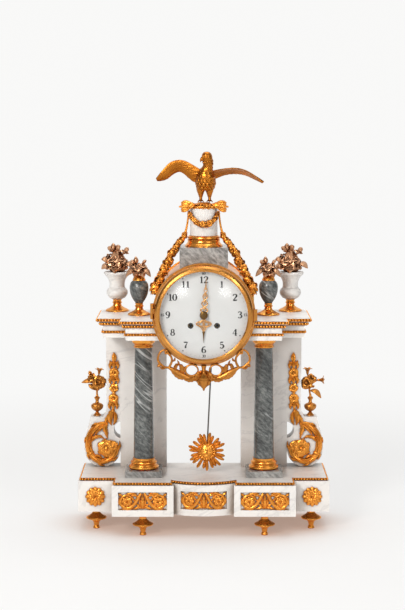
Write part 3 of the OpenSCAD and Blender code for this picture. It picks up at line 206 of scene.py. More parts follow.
def outline(n, width, lobes=0, notch=0.35, full=0.8):
    """Half widths of a leaf: sin(pi u^full), drawn in by notch between its lobes."""
    u = np.linspace(0.03, 0.97, n)
    cut = 1 - notch * (1 - np.abs(np.sin(pi * lobes * u))) if lobes else 1.0
    return width * np.sin(pi * u**full) * cut


def blunt(n):
    """Shares of a half width from a narrow stalk to a wide, rounded end."""
    return np.interp(np.linspace(0, 1, n), [0, 0.2, 0.6, 0.85, 1], [0.3, 0.7, 1.0, 0.95, 0.45])


def leaf(path, width, up=(0, 0, 1), arch=0.25, thick=0.4, points=7, rib=0.12):
    """Leaf along a path: across it the height is arch w (1 - s s) with a midrib, thin at the edges."""
    path = np.asarray(path, float)
    across, up = directions(path, up)
    w = np.broadcast_to(width, len(path))[:, None]
    s = np.linspace(-1, 1, points)[None]
    lift = w * (arch * (1 - s**2) + rib * np.exp(-(s / 0.22)**2))
    body = thick * np.sqrt(np.clip(1.05 - s**2, 0, 1)) * np.ones_like(w)
    middle = path[:, None] + across[:, None] * (w * s)[..., None]
    top = middle + up[:, None] * (lift + body)[..., None]
    low = middle + up[:, None] * (lift - body)[..., None]
    return skin(np.concatenate([top, low[:, ::-1]], 1))


def turned(profile, sides=48, lobes=0, depth=None):
    """A profile of radius and height turned about Z; depth gives each ring its share of cos(lobes t)."""
    p = np.asarray(profile, float)
    t = full_circle(sides)
    swell = 1.0 if depth is None else 1 + np.asarray(depth, float)[:, None] * np.cos(lobes * t)
    r = p[:, 0:1] * swell * np.ones(sides)
    return skin(np.stack([r * np.cos(t), r * np.sin(t), np.repeat(p[:, 1:2], sides, 1)], -1))


def globe(r=1.0, rows=5, sides=8):
    """A ball: rings at equal steps of the angle from one pole to the other."""
    a = np.linspace(0, pi, rows + 2)[1:-1, None]
    t = full_circle(sides)
    rings = np.stack([np.sin(a) * np.cos(t), np.sin(a) * np.sin(t), np.cos(a) + 0 * t], -1) * r
    return skin(rings, [(0, 0, r), (0, 0, -r)])


def medallion(r, height, rows=22, sides=64, thick=1.0):
    """A round relief on a flat back: the height is a function of the share of the radius and the angle."""
    rho = np.linspace(1, 0.03, rows)[:, None]
    t = full_circle(sides)
    h = height(rho, t[None]) + thick
    face = np.stack([r * rho * np.cos(t), r * rho * np.sin(t), h], -1)
    back = np.stack([r * np.cos(t), r * np.sin(t), 0 * t], -1)[None]
    tip = (0, 0, float(h[-1].mean()))
    return skin(np.concatenate([back * [0.2, 0.2, 1], back, face]), [(0, 0, 0), tip])


def bloom(r, petals=5, rows=3):
    """Open flower: rows of petals that run out and up, the inner rows steeper, round a bead."""
    u = np.linspace(0, 1, 5)
    parts = []
    for row in range(rows):
        steep = 0.1 + 0.5 * row
        reach = r * (1 - 0.2 * row)
        path = np.stack([reach * np.cos(steep) * np.sin(u * pi / 2) + 0.02 * r, 0 * u,
                         reach * np.sin(steep) * u + 0.3 * reach * np.sin(pi * u) - 0.15 * r * u**3], -1)
        petal = leaf(path, outline(5, 0.62 * reach, full=1.5), arch=-0.28, thick=0.05 * r, points=4, rib=0)
        turn = full_circle(petals) + row * pi / petals
        parts.append(copies(petal, np.zeros((petals, 3)), about_z(turn)))
    parts.append(moved(globe(0.24 * r, 4, 8), (0, 0, 0.5 * r)))
    parts.append(moved(globe(0.34 * r, 4, 8), (0, 0, -0.05 * r)))
    return join(*parts)


def bud(r, length):
    """Closed flower bud along Z: an egg whose skin is folded by three petals."""
    u = np.linspace(0, 1, 9)
    radius = r * np.sin(pi * np.clip(0.12 + 0.86 * u, 0, 1))**0.8
    return turned(np.stack([radius, u * length], -1), 15, 3, 0.16 * np.sin(pi * u))


def outward(path, i, a):
    """Directions out of a stem at its points i and at the angles a round it."""
    across, up = directions(path, TO_VIEWER)
    return across[i] * np.cos(a)[:, None] + up[i] * np.sin(a)[:, None]


def sprig(path, radii, count, length, seed, bias, wide):
    """Foliage along a path: a core, and leaves set round it by the golden angle, each leaning along it."""
    chance = np.random.default_rng(seed)
    path = np.asarray(path, float)
    along = unit(np.gradient(path, axis=0))
    u = (np.arange(count) + 0.5) / count
    i = np.clip((u * (len(path) - 1)).astype(int), 0, len(path) - 1)
    a = np.arange(count) * GOLDEN_ANGLE + chance.uniform(-0.3, 0.3, count)
    out = outward(path, i, a)
    lean = unit(along[i] * bias + out * (1 - bias) + chance.uniform(-0.2, 0.2, (count, 3)))
    normal = square_to(lean, out)
    turns = np.stack([lean, np.cross(normal, lean), normal], -1)
    sizes = length * (0.75 + 0.5 * chance.random(count)) * (0.45 + 0.55 * radii[i] / radii.max())
    v = np.linspace(0, 1, 5)
    line = np.stack([v, 0 * v, 0.16 * np.sin(pi * v)], -1)
    one = leaf(line, outline(5, wide), arch=0.3, thick=0.05, points=4)
    places = path[i] + out * (radii[i] * 0.62)[:, None]
    return join(rod(path, radii * 0.66, TO_VIEWER), copies(one, places, turns, sizes))


def berries(path, radii, count, size, seed):
    """Small fruit scattered over the surface of a round stem."""
    chance = np.random.default_rng(seed)
    path = np.asarray(path, float)
    i = np.clip((chance.random(count) * (len(path) - 1)).astype(int), 0, len(path) - 1)
    out = outward(path, i, chance.uniform(0, 2 * pi, count))
    sizes = size * (0.7 + 0.6 * chance.random(count))
    return copies(globe(1, 4, 7), path[i] + out * (radii[i] * 0.85)[:, None], None, sizes)


def blossoms(path, radii, count, size, seed):
    """Small flowers set over the surface of a round stem, each facing out from it."""
    chance = np.random.default_rng(seed)
    path = np.asarray(path, float)
    i = np.linspace(0, len(path) - 1, count).astype(int)
    a = np.arange(count) * GOLDEN_ANGLE + chance.uniform(-0.4, 0.4, count)
    out = outward(path, i, a)
    sizes = size * (0.75 + 0.5 * chance.random(count)) * (0.5 + 0.5 * radii[i] / radii.max())
    return copies(bloom(1, 5, 2), path[i] + out * (radii[i] * 0.7)[:, None], facing(out, a), sizes)


def spaced(points, pitch):
    """Places at an even pitch along a line of points."""
    p = np.asarray(points, float)
    s = np.concatenate([[0], np.cumsum(np.linalg.norm(np.diff(p, axis=0), axis=1))])
    t = np.linspace(0, s[-1], int(s[-1] / pitch) + 1)
    return np.stack([np.interp(t, s, p[:, k]) for k in range(p.shape[1])], -1)


# Finishes
def node(tree, kind, **values):
    """A shader node with the named inputs set."""
    made = tree.nodes.new(kind)
    for key, value in values.items():
        if key in made.inputs:
            made.inputs[key].default_value = value
        else:
            setattr(made, key, value)
    return made


def ramp(tree, source, stops):
    """A colour ramp over a source socket; stops are place and colour."""
    made = tree.nodes.new("ShaderNodeValToRGB")
    bar = made.color_ramp
    while len(bar.elements) < len(stops):
        bar.elements.new(0.5)
    for element, (place, colour) in zip(bar.elements, stops):
        element.position = place
        element.color = (*colour, 1.0) if len(colour) == 3 else colour
    tree.links.new(source, made.inputs["Fac"])
    return made.outputs["Color"]


def blend_colours(tree, kind, factor, a, b):
    """Two colours mixed; the factor is a number or a socket."""
    made = tree.nodes.new("ShaderNodeMix")
    made.data_type = "RGBA"
    made.blend_type = kind
    for socket, value in ((made.inputs[0], factor), (made.inputs[6], a), (made.inputs[7], b)):
        if isinstance(value, bpy.types.NodeSocket):
            tree.links.new(value, socket)
        else:
            socket.default_value = value
    return made.outputs[2]


def start_finish(name):
    """A new finish: its node tree, its shader and its object coordinates."""
    made = bpy.data.materials.new(name)
    made.use_nodes = True
    tree = made.node_tree
    coords = tree.nodes.new("ShaderNodeTexCoord").outputs["Object"]
    return made, tree, tree.nodes["Principled BSDF"], coords


def noise(tree, coords, scale, detail=4.0, distortion=0.0, rough=0.55, mapping=None):
    """A noise texture on the given coordinates, stretched and turned where a mapping is given."""
    if mapping is not None:
        turn = tree.nodes.new("ShaderNodeMapping")
        turn.vector_type = "TEXTURE"
        turn.inputs["Rotation"].default_value = mapping[0]
        turn.inputs["Scale"].default_value = mapping[1]
        tree.links.new(coords, turn.inputs["Vector"])
        coords = turn.outputs["Vector"]
    made = node(tree, "ShaderNodeTexNoise", Scale=scale, Detail=detail, Distortion=distortion,
                Roughness=rough)
    tree.links.new(coords, made.inputs["Vector"])
    return made.outputs["Fac"]


def grey(level):
    """A colour of one grey level."""
    return (level, level, level)


def clouded(tree, socket, coords, scale, low, high):
    """Leads into a socket a noise that runs from one colour to another."""
    tree.links.new(ramp(tree, noise(tree, coords, scale), [(0.3, low), (0.7, high)]), socket)


def add_bump(tree, shader, source, strength, distance):
    """Fine relief from a noise socket."""
    made = node(tree, "ShaderNodeBump", Strength=strength, Distance=distance)
    tree.links.new(source, made.inputs["Height"])
    tree.links.new(made.outputs["Normal"], shader.inputs["Normal"])


def metal(name, bright, dark, rough, cavity=0.004, relief=0.12, grain=700.0, share=1.0):
    """Metal with a dark patina in its recesses; a share below one leaves it partly matt."""
    made, tree, shader, coords = start_finish(name)
    hollow = node(tree, "ShaderNodeAmbientOcclusion", Distance=cavity, samples=8)
    worn = ramp(tree, hollow.outputs["AO"], [(0.25, dark), (0.8, bright)])
    cloud = noise(tree, coords, 45.0, 5.0, 0.6)
    tone = ramp(tree, cloud, [(0.3, (0.78, 0.74, 0.7)), (0.65, (1, 1, 1))])
    tree.links.new(blend_colours(tree, "MULTIPLY", 1.0, worn, tone), shader.inputs["Base Color"])
    sheen = ramp(tree, cloud, [(0.3, grey(rough[1])), (0.7, grey(rough[0]))])
    tree.links.new(sheen, shader.inputs["Roughness"])
    shader.inputs["Metallic"].default_value = share
    add_bump(tree, shader, noise(tree, coords, grain, 3.0), relief, 0.0006)
    return made


def white_marble_finish():
    """White marble: soft grey clouds, a few thin veins, and a painted shade of warmer grey in dim corners.
    """
    made, tree, shader, coords = start_finish("white_marble_finish")
    cloud = noise(tree, coords, 16.0, 6.0, 0.8)
    cloud = ramp(tree, cloud, [(0.35, (0.78, 0.755, 0.725)), (0.6, (0.85, 0.825, 0.79))])
    line = noise(tree, coords, 9.0, 8.0, 2.2, 0.6, ((0.4, 0.9, 0.3), (1.0, 1.0, 2.2)))
    vein = ramp(tree, line, [(0.475, (1, 1, 1)), (0.5, (0.8, 0.8, 0.81)), (0.525, (1, 1, 1))])
    stone = blend_colours(tree, "MULTIPLY", 0.7, cloud, vein)
    # Painted shade: where occlusion finds little room, the stone's colour is multiplied by a warmer grey
    corner = node(tree, "ShaderNodeAmbientOcclusion", Distance=0.07, samples=8)
    shade = ramp(tree, corner.outputs["AO"], [(0.25, (0.5, 0.43, 0.38)), (0.68, (1, 1, 1))])
    tree.links.new(blend_colours(tree, "MULTIPLY", 1.0, stone, shade), shader.inputs["Base Color"])
    clouded(tree, shader.inputs["Roughness"], coords, 60.0, grey(0.28), grey(0.4))
    add_bump(tree, shader, noise(tree, coords, 400.0, 2.0), 0.03, 0.0004)
    return made


def grey_marble_finish(name, shades, veins):
    """Grey marble: fine mottling, broad clouds, and thin straight veins from upper left to lower right."""
    made, tree, shader, coords = start_finish(name)
    turn = (0.1, np.radians(42), 0.15)
    fleck = noise(tree, coords, 260.0, 5.0, 0.2, 0.7, (turn, (2.4, 1.8, 1.0)))
    fleck = ramp(tree, fleck, list(zip((0.36, 0.5, 0.64), shades)))
    broad = noise(tree, coords, 26.0, 3.0, 0.4, 0.55, (turn, (3.0, 3.0, 1.0)))
    broad = ramp(tree, broad, [(0.36, grey(0.55)), (0.64, grey(1.35))])
    ground = blend_colours(tree, "MULTIPLY", 1.0, fleck, broad)
    line = noise(tree, coords, 62.0, 2.0, 0.1, 0.5, (turn, (12.0, 9.0, 1.0)))
    vein = ramp(tree, line, [(0.474, (0, 0, 0)), (0.5, grey(veins)), (0.526, (0, 0, 0))])
    broken = ramp(tree, noise(tree, coords, 15.0, 2.0), [(0.52, (0, 0, 0)), (0.63, (1, 1, 1))])
    share = blend_colours(tree, "MULTIPLY", 1.0, vein, broken)
    stone = blend_colours(tree, "MIX", share, ground, (0.52, 0.53, 0.52, 1))
    tree.links.new(stone, shader.inputs["Base Color"])
    clouded(tree, shader.inputs["Roughness"], coords, 80.0, grey(0.14), grey(0.26))
    add_bump(tree, shader, noise(tree, coords, 300.0, 2.0), 0.02, 0.0004)
    return made


def enamel_finish():
    """White fired enamel: glassy, with faint clouds and a very slight ripple."""
    made, tree, shader, coords = start_finish("enamel_finish")
    clouded(tree, shader.inputs["Base Color"], coords, 30.0, (0.64, 0.65, 0.64), (0.68, 0.685, 0.675))
    clouded(tree, shader.inputs["Roughness"], coords, 90.0, grey(0.12), grey(0.2))
    add_bump(tree, shader, noise(tree, coords, 22.0, 2.0), 0.03, 0.001)
    return made


def paint_finish():
    """Black fired paint on the dial, a little uneven; on the winding sleeves the same black is painted
    shade.
    """
    made, tree, shader, coords = start_finish("dial_paint_and_hole_shade_finish")
    clouded(tree, shader.inputs["Base Color"], coords, 500.0, (0.008, 0.008, 0.009), (0.02, 0.019, 0.018))
    clouded(tree, shader.inputs["Roughness"], coords, 300.0, grey(0.25), grey(0.4))
    return made


def glass_finish():
    """Clear thin glass: almost open, with a faint sharp mirror over it and a trace of dust."""
    made, tree, shader, coords = start_finish("glass_finish")
    clouded(tree, shader.inputs["Base Color"], coords, 40.0, (0.9, 0.92, 0.92), (0.95, 0.96, 0.96))
    clouded(tree, shader.inputs["Roughness"], coords, 120.0, grey(0.11), grey(0.16))
    shader.inputs["Metallic"].default_value = 1.0
    shader.inputs["Alpha"].default_value = 0.014
    return made


WHITE = white_marble_finish()
GREY = grey_marble_finish("grey_marble_finish",
                          [(0.043, 0.047, 0.046), (0.094, 0.1, 0.097), (0.18, 0.186, 0.178)], 0.9)
PALE_GREY = grey_marble_finish("pale_grey_marble_finish",
                               [(0.15, 0.145, 0.138), (0.275, 0.268, 0.255), (0.43, 0.42, 0.4)], 0.5)
# Metals: name, colour of the high parts, colour of the hollows, the two ends of the roughness, and where
# they differ from most, the reach of the hollows, the strength of the fine relief and its grain
GILT = metal("chased_gilt_finish", (0.92, 0.36, 0.05), (0.25, 0.055, 0.004), (0.2, 0.38), share=0.78)
POLISHED = metal("polished_gilt_finish", (0.92, 0.39, 0.07), (0.36, 0.1, 0.014), (0.2, 0.34), 0.003, 0.03)
# A darker copy of the polished gilt, for the front ring and the bezel
DARKER_POLISHED = metal("darker_polished_gilt_finish", (0.68, 0.3, 0.07), (0.3, 0.085, 0.012), (0.2, 0.34), 0.003, 0.03)
# A darker gilt, for the console vases, and as painted shade on the leaf mount under the bezel
DARK_GILT_AND_SHADE = metal("dark_gilt_and_painted_shade_finish", (0.62, 0.25, 0.05), (0.14, 0.03, 0.003), (0.24, 0.4))
SATIN = metal("satin_gilt_finish", (0.8, 0.46, 0.27), (0.4, 0.18, 0.09), (0.34, 0.46), 0.003, 0.05, 300.0)
# Dark antique gilt for the eagle; the bands behind the beads take it as painted shade between the beads
ANTIQUE_AND_BEAD_SHADE = metal("antique_gilt_and_bead_shade_finish", (0.52, 0.18, 0.022), (0.1, 0.022, 0.002), (0.26, 0.42))
PALE_GILT = metal("pale_gilt_finish", (0.68, 0.36, 0.13), (0.14, 0.05, 0.01), (0.22, 0.38), 0.003, 0.05,
                  share=0.85)
BROWNED = metal("browned_brass_finish", (0.17, 0.09, 0.022), (0.04, 0.018, 0.004), (0.3, 0.45))
# Nearly black steel for the winding arbors, as painted shade so that the winding holes read dark
HOLE_SHADE_STEEL = metal("steel_painted_hole_shade_finish", (0.03, 0.03, 0.031), (0.008, 0.008, 0.008), (0.3, 0.5))
BRONZE = metal("brown_bronze_finish", (0.58, 0.32, 0.18), (0.13, 0.055, 0.025), (0.28, 0.48))
BRASS = metal("brass_finish", (0.72, 0.5, 0.18), (0.3, 0.18, 0.05), (0.2, 0.35), 0.003, 0.06, 300.0)
BELL = metal("bell_metal_finish", (0.7, 0.52, 0.25), (0.3, 0.2, 0.08), (0.15, 0.3), 0.003, 0.05, 300.0)
STEEL = metal("steel_finish", (0.4, 0.41, 0.43), (0.15, 0.15, 0.16), (0.22, 0.4), 0.003, 0.08, 500.0)
IRON = metal("iron_finish", (0.16, 0.15, 0.145), (0.05, 0.045, 0.04), (0.4, 0.6), 0.003, 0.2, 300.0)
ENAMEL = enamel_finish()
PAINT_AND_HOLE_SHADE = paint_finish()
GLASS = glass_finish()

# The solids that show as they are, by their finish
FINISHED_NODES = (
    (WHITE, "base_block base_top pilasters consoles entablatures campana_urns crest_drum"),
    (GREY, "columns ovoid_urns"),
    (PALE_GREY, "column_plinths crest_block"),
    (POLISHED, "toupie_feet column_bases column_capitals urn_feet rear_ring crest_ring"),
    (DARKER_POLISHED, "front_ring bezel"),
    (SATIN, "drum_case"),
    (ENAMEL, "dial"),
    (BRASS, "rear_door front_plate back_plate plate_pillars back_cock going_barrel going_wheel "
            "centre_wheel third_wheel escape_wheel minute_wheel hour_wheel strike_barrel pin_wheel"),
    # The winding arbors are near black as painted shade in the winding holes
    (HOLE_SHADE_STEEL, "going_arbor strike_arbor"),
    (STEEL, "hinge_pins hammer pallets"),
    (IRON, "tie_rods pendulum_rod"),
    (BELL, "bell"),
)
for finish, names in FINISHED_NODES:
    for name in names.split():
        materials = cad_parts[name].data.materials
        if len(materials) == 0:
            materials.append(finish)
        for index in range(len(materials)):
            materials[index] = finish


def piece(name, shape, finish, replaced=(), body="case"):
    """A new mesh object from a shape in millimetres, riding on a body and taking the place of CAD nodes."""
    points, quads, tris = shape
    mesh = bpy.data.meshes.new(name)
    mesh.from_pydata((points * MILLIMETRE).tolist(), [], quads.tolist() + tris.tolist())
    work = bmesh.new()
    work.from_mesh(mesh)
    bmesh.ops.recalc_face_normals(work, faces=work.faces)
    work.to_mesh(mesh)
    work.free()
    mesh.shade_smooth()
    mesh.set_sharp_from_angle(angle=np.radians(CREASE))
    mesh.materials.append(finish)
    made = bpy.data.objects.new(name, mesh)
    bpy.context.scene.collection.objects.link(made)
    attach(made, body)
    if replaced:
        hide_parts(*replaced)


# Outlines of the base and of the right entablature from the middle, and the pitch of the beads
BASE_SIDE = 198.5
BASE_BACK = 80
WING_FRONT = 43
BAY_SIDE = 143.75
BAY_FRONT = 78
BOW_SIDE = 47.25
BOW_R = 86.7
BOW_Y = 10.7
ENTABLATURE_SIDE = 158
ENTABLATURE_BACK = 75.4
ENTABLATURE_WING = -37.0
ENTABLATURE_BAY = 121
ENTABLATURE_FRONT = -72.0
BEAD_PITCH = 4.6
# Strips of the entablature: foot, top, how far each stands out and where it ends beside the drum
ENTABLATURE_STRIPS = ((315.5, 319.7, 0, 70.2), (328.3, 333.7, 3, 77.8), (334.6, 339.2, 8, 79.2))


# Beaded strips
def at_height(line, z):
    """A flat line of points at one height."""
    return np.c_[line, np.full(len(line), z)]


def band(inner, outer, z0, z1):
    """A thin band with a mitred outline and two fine rims."""
    def wall(a, b, low, high):
        """A closed strip between two outlines and two heights."""
        return skin(np.stack([at_height(b, low), at_height(b, high), at_height(a, high), at_height(a, low)],
                             1))
    rim_h = 0.6
    rim = (outer - inner) * 1.15 + inner
    return join(wall(inner, outer, z0 + rim_h / 2, z1 - rim_h / 2), wall(inner, rim, z0, z0 + rim_h),
                wall(inner, rim, z1 - rim_h, z1))


def bead_row(line, z, size):
    """A row of beads along a line at one height."""
    return copies(globe(size, 4, 8), at_height(spaced(line, BEAD_PITCH), z))


def base_outline(e):
    """Front outline of the base drawn in by e, from the right back corner round to the left one."""
    x = (BOW_SIDE + e) * (1 - np.arange(13) / 12)
    right = np.vstack([[(BASE_SIDE - e, BASE_BACK - e), (BASE_SIDE - e, -(WING_FRONT - e)),
                        (BAY_SIDE - e, -(WING_FRONT - e)), (BAY_SIDE - e, -(BAY_FRONT - e)),
                        (BOW_SIDE + e, -(BAY_FRONT - e))],
                       np.c_[x, BOW_Y - np.sqrt((BOW_R - e)**2 - x**2)]])
    return np.vstack([right, right[-2::-1] * [-1, 1]])


def entablature_outline(o, end):
    """Outline of the right entablature standing out by o, from its back corner to where the drum begins."""
    return np.array([(ENTABLATURE_SIDE + o, ENTABLATURE_BACK), (ENTABLATURE_SIDE + o, ENTABLATURE_WING - o),
                     (ENTABLATURE_BAY + o, ENTABLATURE_WING - o),
                     (ENTABLATURE_BAY + o, ENTABLATURE_FRONT - o), (end, ENTABLATURE_FRONT - o)])


piece("base_pearls", bead_row(base_outline(3.4), 83.2, 1.8), POLISHED, ["base_beading"])
base_strip = band(base_outline(4.6), base_outline(4.0), 81.1, 85.3)
# The dark band is painted shade: it shows as the shade in the gaps between the beads
piece("base_band", base_strip, ANTIQUE_AND_BEAD_SHADE, ["base_beading"])
beads, bands = [], []
for z0, z1, over, end in ENTABLATURE_STRIPS:
    line = entablature_outline(over + 1.2, end + 1.0)
    beads.append(bead_row(line, (z0 + z1) / 2, (z1 - z0) / 2 - 0.4))
    bands.append(band(entablature_outline(over, end), entablature_outline(over + 0.5, end), z0, z1))
piece("entablature_pearls", both(join(*beads)), POLISHED, ["entablature_beading"])
# The dark bands are painted shade: they show as the shade in the gaps between the beads
piece("entablature_bands", both(join(*bands)), ANTIQUE_AND_BEAD_SHADE, ["entablature_beading"])


# Friezes on the base
def flat_rod(points, thick, n=40, flat=0.7):
    """A round stem lying in the plane; each point is across, up and the share of the thickness there."""
    p = smooth([(x, y, 0.8, r) for x, y, r in points], n)
    return rod(p[:, :3] + np.outer(p[:, 3], (0, 0, 0.5 * thick)), p[:, 3] * thick, flat=flat)


def flat_leaf(points, width, lobes=3, rise=1.2, thick=0.5, n=16):
    """A lobed leaf lying in the plane along a curve, its middle arched up."""
    path = smooth([(p[0], p[1], 0.6) for p in points], n)
    path[:, 2] += rise * np.sin(np.linspace(0.1, 0.95, n) * pi)
    return leaf(path, outline(n, width, lobes), arch=0.3, thick=thick, points=7, rib=0.2)


def petals(count, boss, tall):
    """Height of a rosette's heart: petals as a wave round the angle, and a boss in the middle."""
    def height(rho, t):
        """Height at a share of the radius and an angle."""
        swell = np.sin(pi * np.clip((rho - boss) / (0.94 - boss), 0, 1))**0.7
        h = tall * swell * (0.35 + 0.65 * np.abs(np.cos(count * t / 2))**0.8)
        h = h + 0.35 * tall * swell * np.cos(count * t)**2 * np.cos(3 * pi * rho)**2
        return h + 1.25 * tall * np.sqrt(np.clip(1 - (rho / boss)**2, 0, 1))
    return height


def rosette(r, count, tall):
    """Open flower seen flat: two rings of pointed petals laid between each other round a small boss."""
    u = np.linspace(0, 1, 9)
    parts = [turned([(0.3, 0), (0.95 * r, 0), (0.93 * r, 0.2 * tall), (0.3, 0.3 * tall)], 32)]
    for reach, start, up, wide in ((1.0, 0.0, 0.1, 2.7 / count), (0.7, pi / count, 0.42, 2.0 / count)):
        rise = tall * (up + 0.5 * np.sin(pi * (0.15 + 0.7 * u)))
        path = np.stack([r * (0.12 + (reach - 0.12) * u), 0 * u, rise], -1)
        petal = leaf(path, wide * r * blunt(9), arch=0.3, thick=0.05 * r, points=6, rib=0.12)
        parts.append(copies(petal, np.zeros((count, 3)), about_z(start + full_circle(count))))
    parts.append(moved(medallion(0.26 * r, petals(6, 0.35, 0.3 * tall), 10, 36), (0, 0, 0.75 * tall)))
    return join(*parts)


def frieze():
    """Pierced scroll frieze 76 by 28: two leafy spirals with rosettes, corner leaves and a palmette."""
    half = [flat_rod([(2.5, 12.4, 0.8), (6, 7, 1), (10, 0, 1.1), (16, -8, 1.1), (24, -11.2, 1),
                      (31.5, -8, 0.95), (34.8, -1, 0.9), (31, 6.8, 0.8), (24.4, 9.4, 0.7), (17, 6, 0.55)],
                     2.5, 60),
            moved(rosette(8.6, 8, 3.0), (24.2, -1.2, 0.4))]
    for points, width, lobes in (([(14, -9), (20, -12.4), (28, -12.8), (36.6, -12.6)], 1.9, 5),
                                 ([(33, -7), (36, -4), (36.6, 2), (35.4, 8)], 1.7, 4),
                                 ([(31, 7), (34, 9.6), (36.4, 11), (37.4, 13)], 1.8, 3),
                                 ([(28, 8), (22, 11.4), (15, 12.8), (8.6, 12.6)], 2.1, 5),
                                 ([(7, 6), (11, 9.4), (16.4, 9.4), (20, 6.6)], 1.9, 4),
                                 ([(10.6, -1), (14.4, 2.4), (16, 6), (15, 9)], 1.5, 3),
                                 ([(1.4, -12), (6, -9.6), (11, -11.6), (17, -13)], 2.1, 4),
                                 ([(12, -4), (8, -5.4), (5.6, -9), (6.6, -12.6)], 1.7, 3),
                                 ([(0.6, -12), (3.6, -5), (4.4, 2), (3.0, 9.6)], 1.5, 3)):
        half.append(flat_leaf(points, 1.35 * width, lobes, 1.5, 0.6))
    palmette = flat_leaf([(0, -12.6), (0, -4), (0, 5), (0, 13)], 3.2, 5, 2.2, 0.6)
    return join(both(join(*half)), palmette)


# Middle height of the base's panels, radius of the bow's sunk panel and how far its frieze is drawn in
PANEL_Z = 56.5
PANEL_R = 83.7
PANEL_SQUEEZE = 0.94


def on_bow(shape):
    """Wraps a flat panel round the sunk panel of the bow: across becomes an angle, height a radius."""
    a, b, h = shape[0].T
    angle = a * PANEL_SQUEEZE / PANEL_R
    points = np.stack([(PANEL_R + h) * np.sin(angle), BOW_Y - (PANEL_R + h) * np.cos(angle), b + PANEL_Z],
                      -1)
    return points, shape[1], shape[2]


BOTH_FRONT = np.repeat(FRONT[None], 2, 0)
panel = frieze()
side_panels = copies(panel, pair(95.5, -75, PANEL_Z), BOTH_FRONT)
piece("scroll_friezes", join(side_panels, on_bow(panel)), GILT, ["base_friezes"])
end_rosettes = copies(rosette(15.4, 12, 4.4), pair(171.3, -43, PANEL_Z), BOTH_FRONT)
piece("end_rosettes", end_rosettes, GILT, ["base_rosettes"])


# Console mounts: a flower drop, a leaf scroll and a rosette on each console, in the plane of its face
def flower_drop():
    """Parts of the hanging flowers: a bud, three open flowers, their leaves and two beads on one stem."""
    parts = [moved(bud(3.9, 16), (145.3, 258, 2.4), facing([(0, 1, 0.06)])[0]),
             flat_rod([(145.4, 262, 0.8), (145.5, 230, 1), (146.4, 196, 1), (147.2, 174, 1)], 1.7)]
    for k, (x, z, r) in enumerate(((145.4, 240.4, 7.6), (145.6, 215.6, 7.0), (146.3, 198.4, 7.6))):
        parts.append(moved(bloom(r, 5, 3), (x, z, 1.8), about_z(0.5 * k)[0], (1, 1, 0.8)))
    for x, z in ((145.3, 253), (145.5, 228.4), (146.8, 187)):
        for s in (-1, 1):
            falling = [(x, z + 5), (x + s * 4.6, z + 2.6), (x + s * 6.6, z - 2), (x + s * 4.8, z - 7)]
            rising = [(x, z - 1), (x + s * 3, z + 3), (x + s * 5.8, z + 4.6), (x + s * 6.8, z + 8)]
            parts.append(flat_leaf(falling, 3.2, 3, 2.6))
            parts.append(flat_leaf(rising, 2.3, 0, 1.8))
        parts.append(flat_leaf([(x, z + 7), (x, z + 2), (x, z - 4), (x, z - 9)], 2.9, 3, 3.6))
    for x, z in ((145.8, 207.2), (147, 177.4)):
        parts.append(moved(globe(2.7, 5, 10), (x, z, 2)))
    return parts


def leaf_scroll():
    """Parts of the scroll: loose leaves, a ridged band that curls in, its tie and leaves along it."""
    parts = []
    # Loose leaves: points from stalk to tip, width, lobes and rise
    loose = (([(147, 181), (151, 172.6), (152.4, 163), (150, 154)], 5.4, 6, 4.0),
             ([(146.6, 178), (143.6, 170), (144, 161), (147, 154.4)], 3.8, 5, 2.6),
             ([(149.6, 174), (155, 167.6), (158.6, 161), (159.4, 154)], 4.2, 5, 3.0),
             ([(156, 158), (160.6, 150), (158.4, 142), (156.6, 131)], 4.4, 5, 3.0),
             ([(186, 124), (178.6, 133.4), (168.6, 136), (161, 131)], 3.4, 5, 2.6),
             ([(158, 156), (165, 151), (173, 143.6), (178, 136)], 2.8, 5, 3.4),
             ([(180, 103), (173, 104.4), (167.6, 101.6), (164, 97.6)], 2.6, 4, 2.4))
    for points, width, lobes, rise in loose:
        parts.append(flat_leaf(points, width, lobes, rise, 0.7))
    line = [(156, 157.6), (169.8, 154.4), (181.6, 143.8), (187.4, 128.8), (186.2, 113), (179.2, 101),
            (167.4, 94.8), (154.8, 97.6), (144.6, 106.6), (141.8, 118.6), (147.6, 127.6)]
    sweep = smooth([(x, y, 1.0) for x, y in line], 72)
    u = np.linspace(0, 1, 72)
    wide = np.interp(u, [0, 0.12, 0.36, 0.62, 0.86, 1], [2.6, 5.0, 5.6, 5.0, 4.2, 1.4])
    parts.append(leaf(sweep, wide, arch=0.5, thick=0.7, points=11, rib=0.16))
    centre = np.array([161.0, 120.0])
    side = unit(sweep[:, :2] - centre)
    for s in (-0.52, 0.52):
        ridge = sweep + np.c_[side * (s * wide)[:, None], 0.42 * wide]
        parts.append(rod(ridge, 0.2 * wide, sides=6))
    tied = 31
    p, out = sweep[tied], np.append(side[tied], 0)
    parts.append(rod([p - out * 5.6, p - out * 3 + (0, 0, 3), p + out * 3 + (0, 0, 3), p + out * 5.6],
                     [1.2, 2.2, 2.2, 1.2], sides=10))
    for off, first, last in ((2.6, 30, 8), (-2.2, 30, 14), (2.2, 33, 56), (-1.8, 33, 50)):
        run = slice(first, last, -3 if last < first else 3)
        line, way = sweep[run], side[run]
        bent = off * np.linspace(0.5, 1.3, len(line))
        raised = line + np.c_[way * bent[:, None], np.linspace(1.8, 3.4, len(line))]
        parts.append(leaf(raised, outline(len(line), 3.0, 4, 0.4), arch=0.4, thick=0.6, points=7, rib=0.25))
    for i in range(8, 64, 11):
        p, out = sweep[i, :2], side[i]
        along = unit(sweep[i + 2, :2] - sweep[i - 2, :2])
        parts.append(flat_leaf([p + out * 2 - along * 4, p + out * 4 + along * 1, p + out * 5.6 + along * 6,
                                p + out * 5 + along * 12], 2.4, 3, 2.6, 0.6, 12))
    return parts


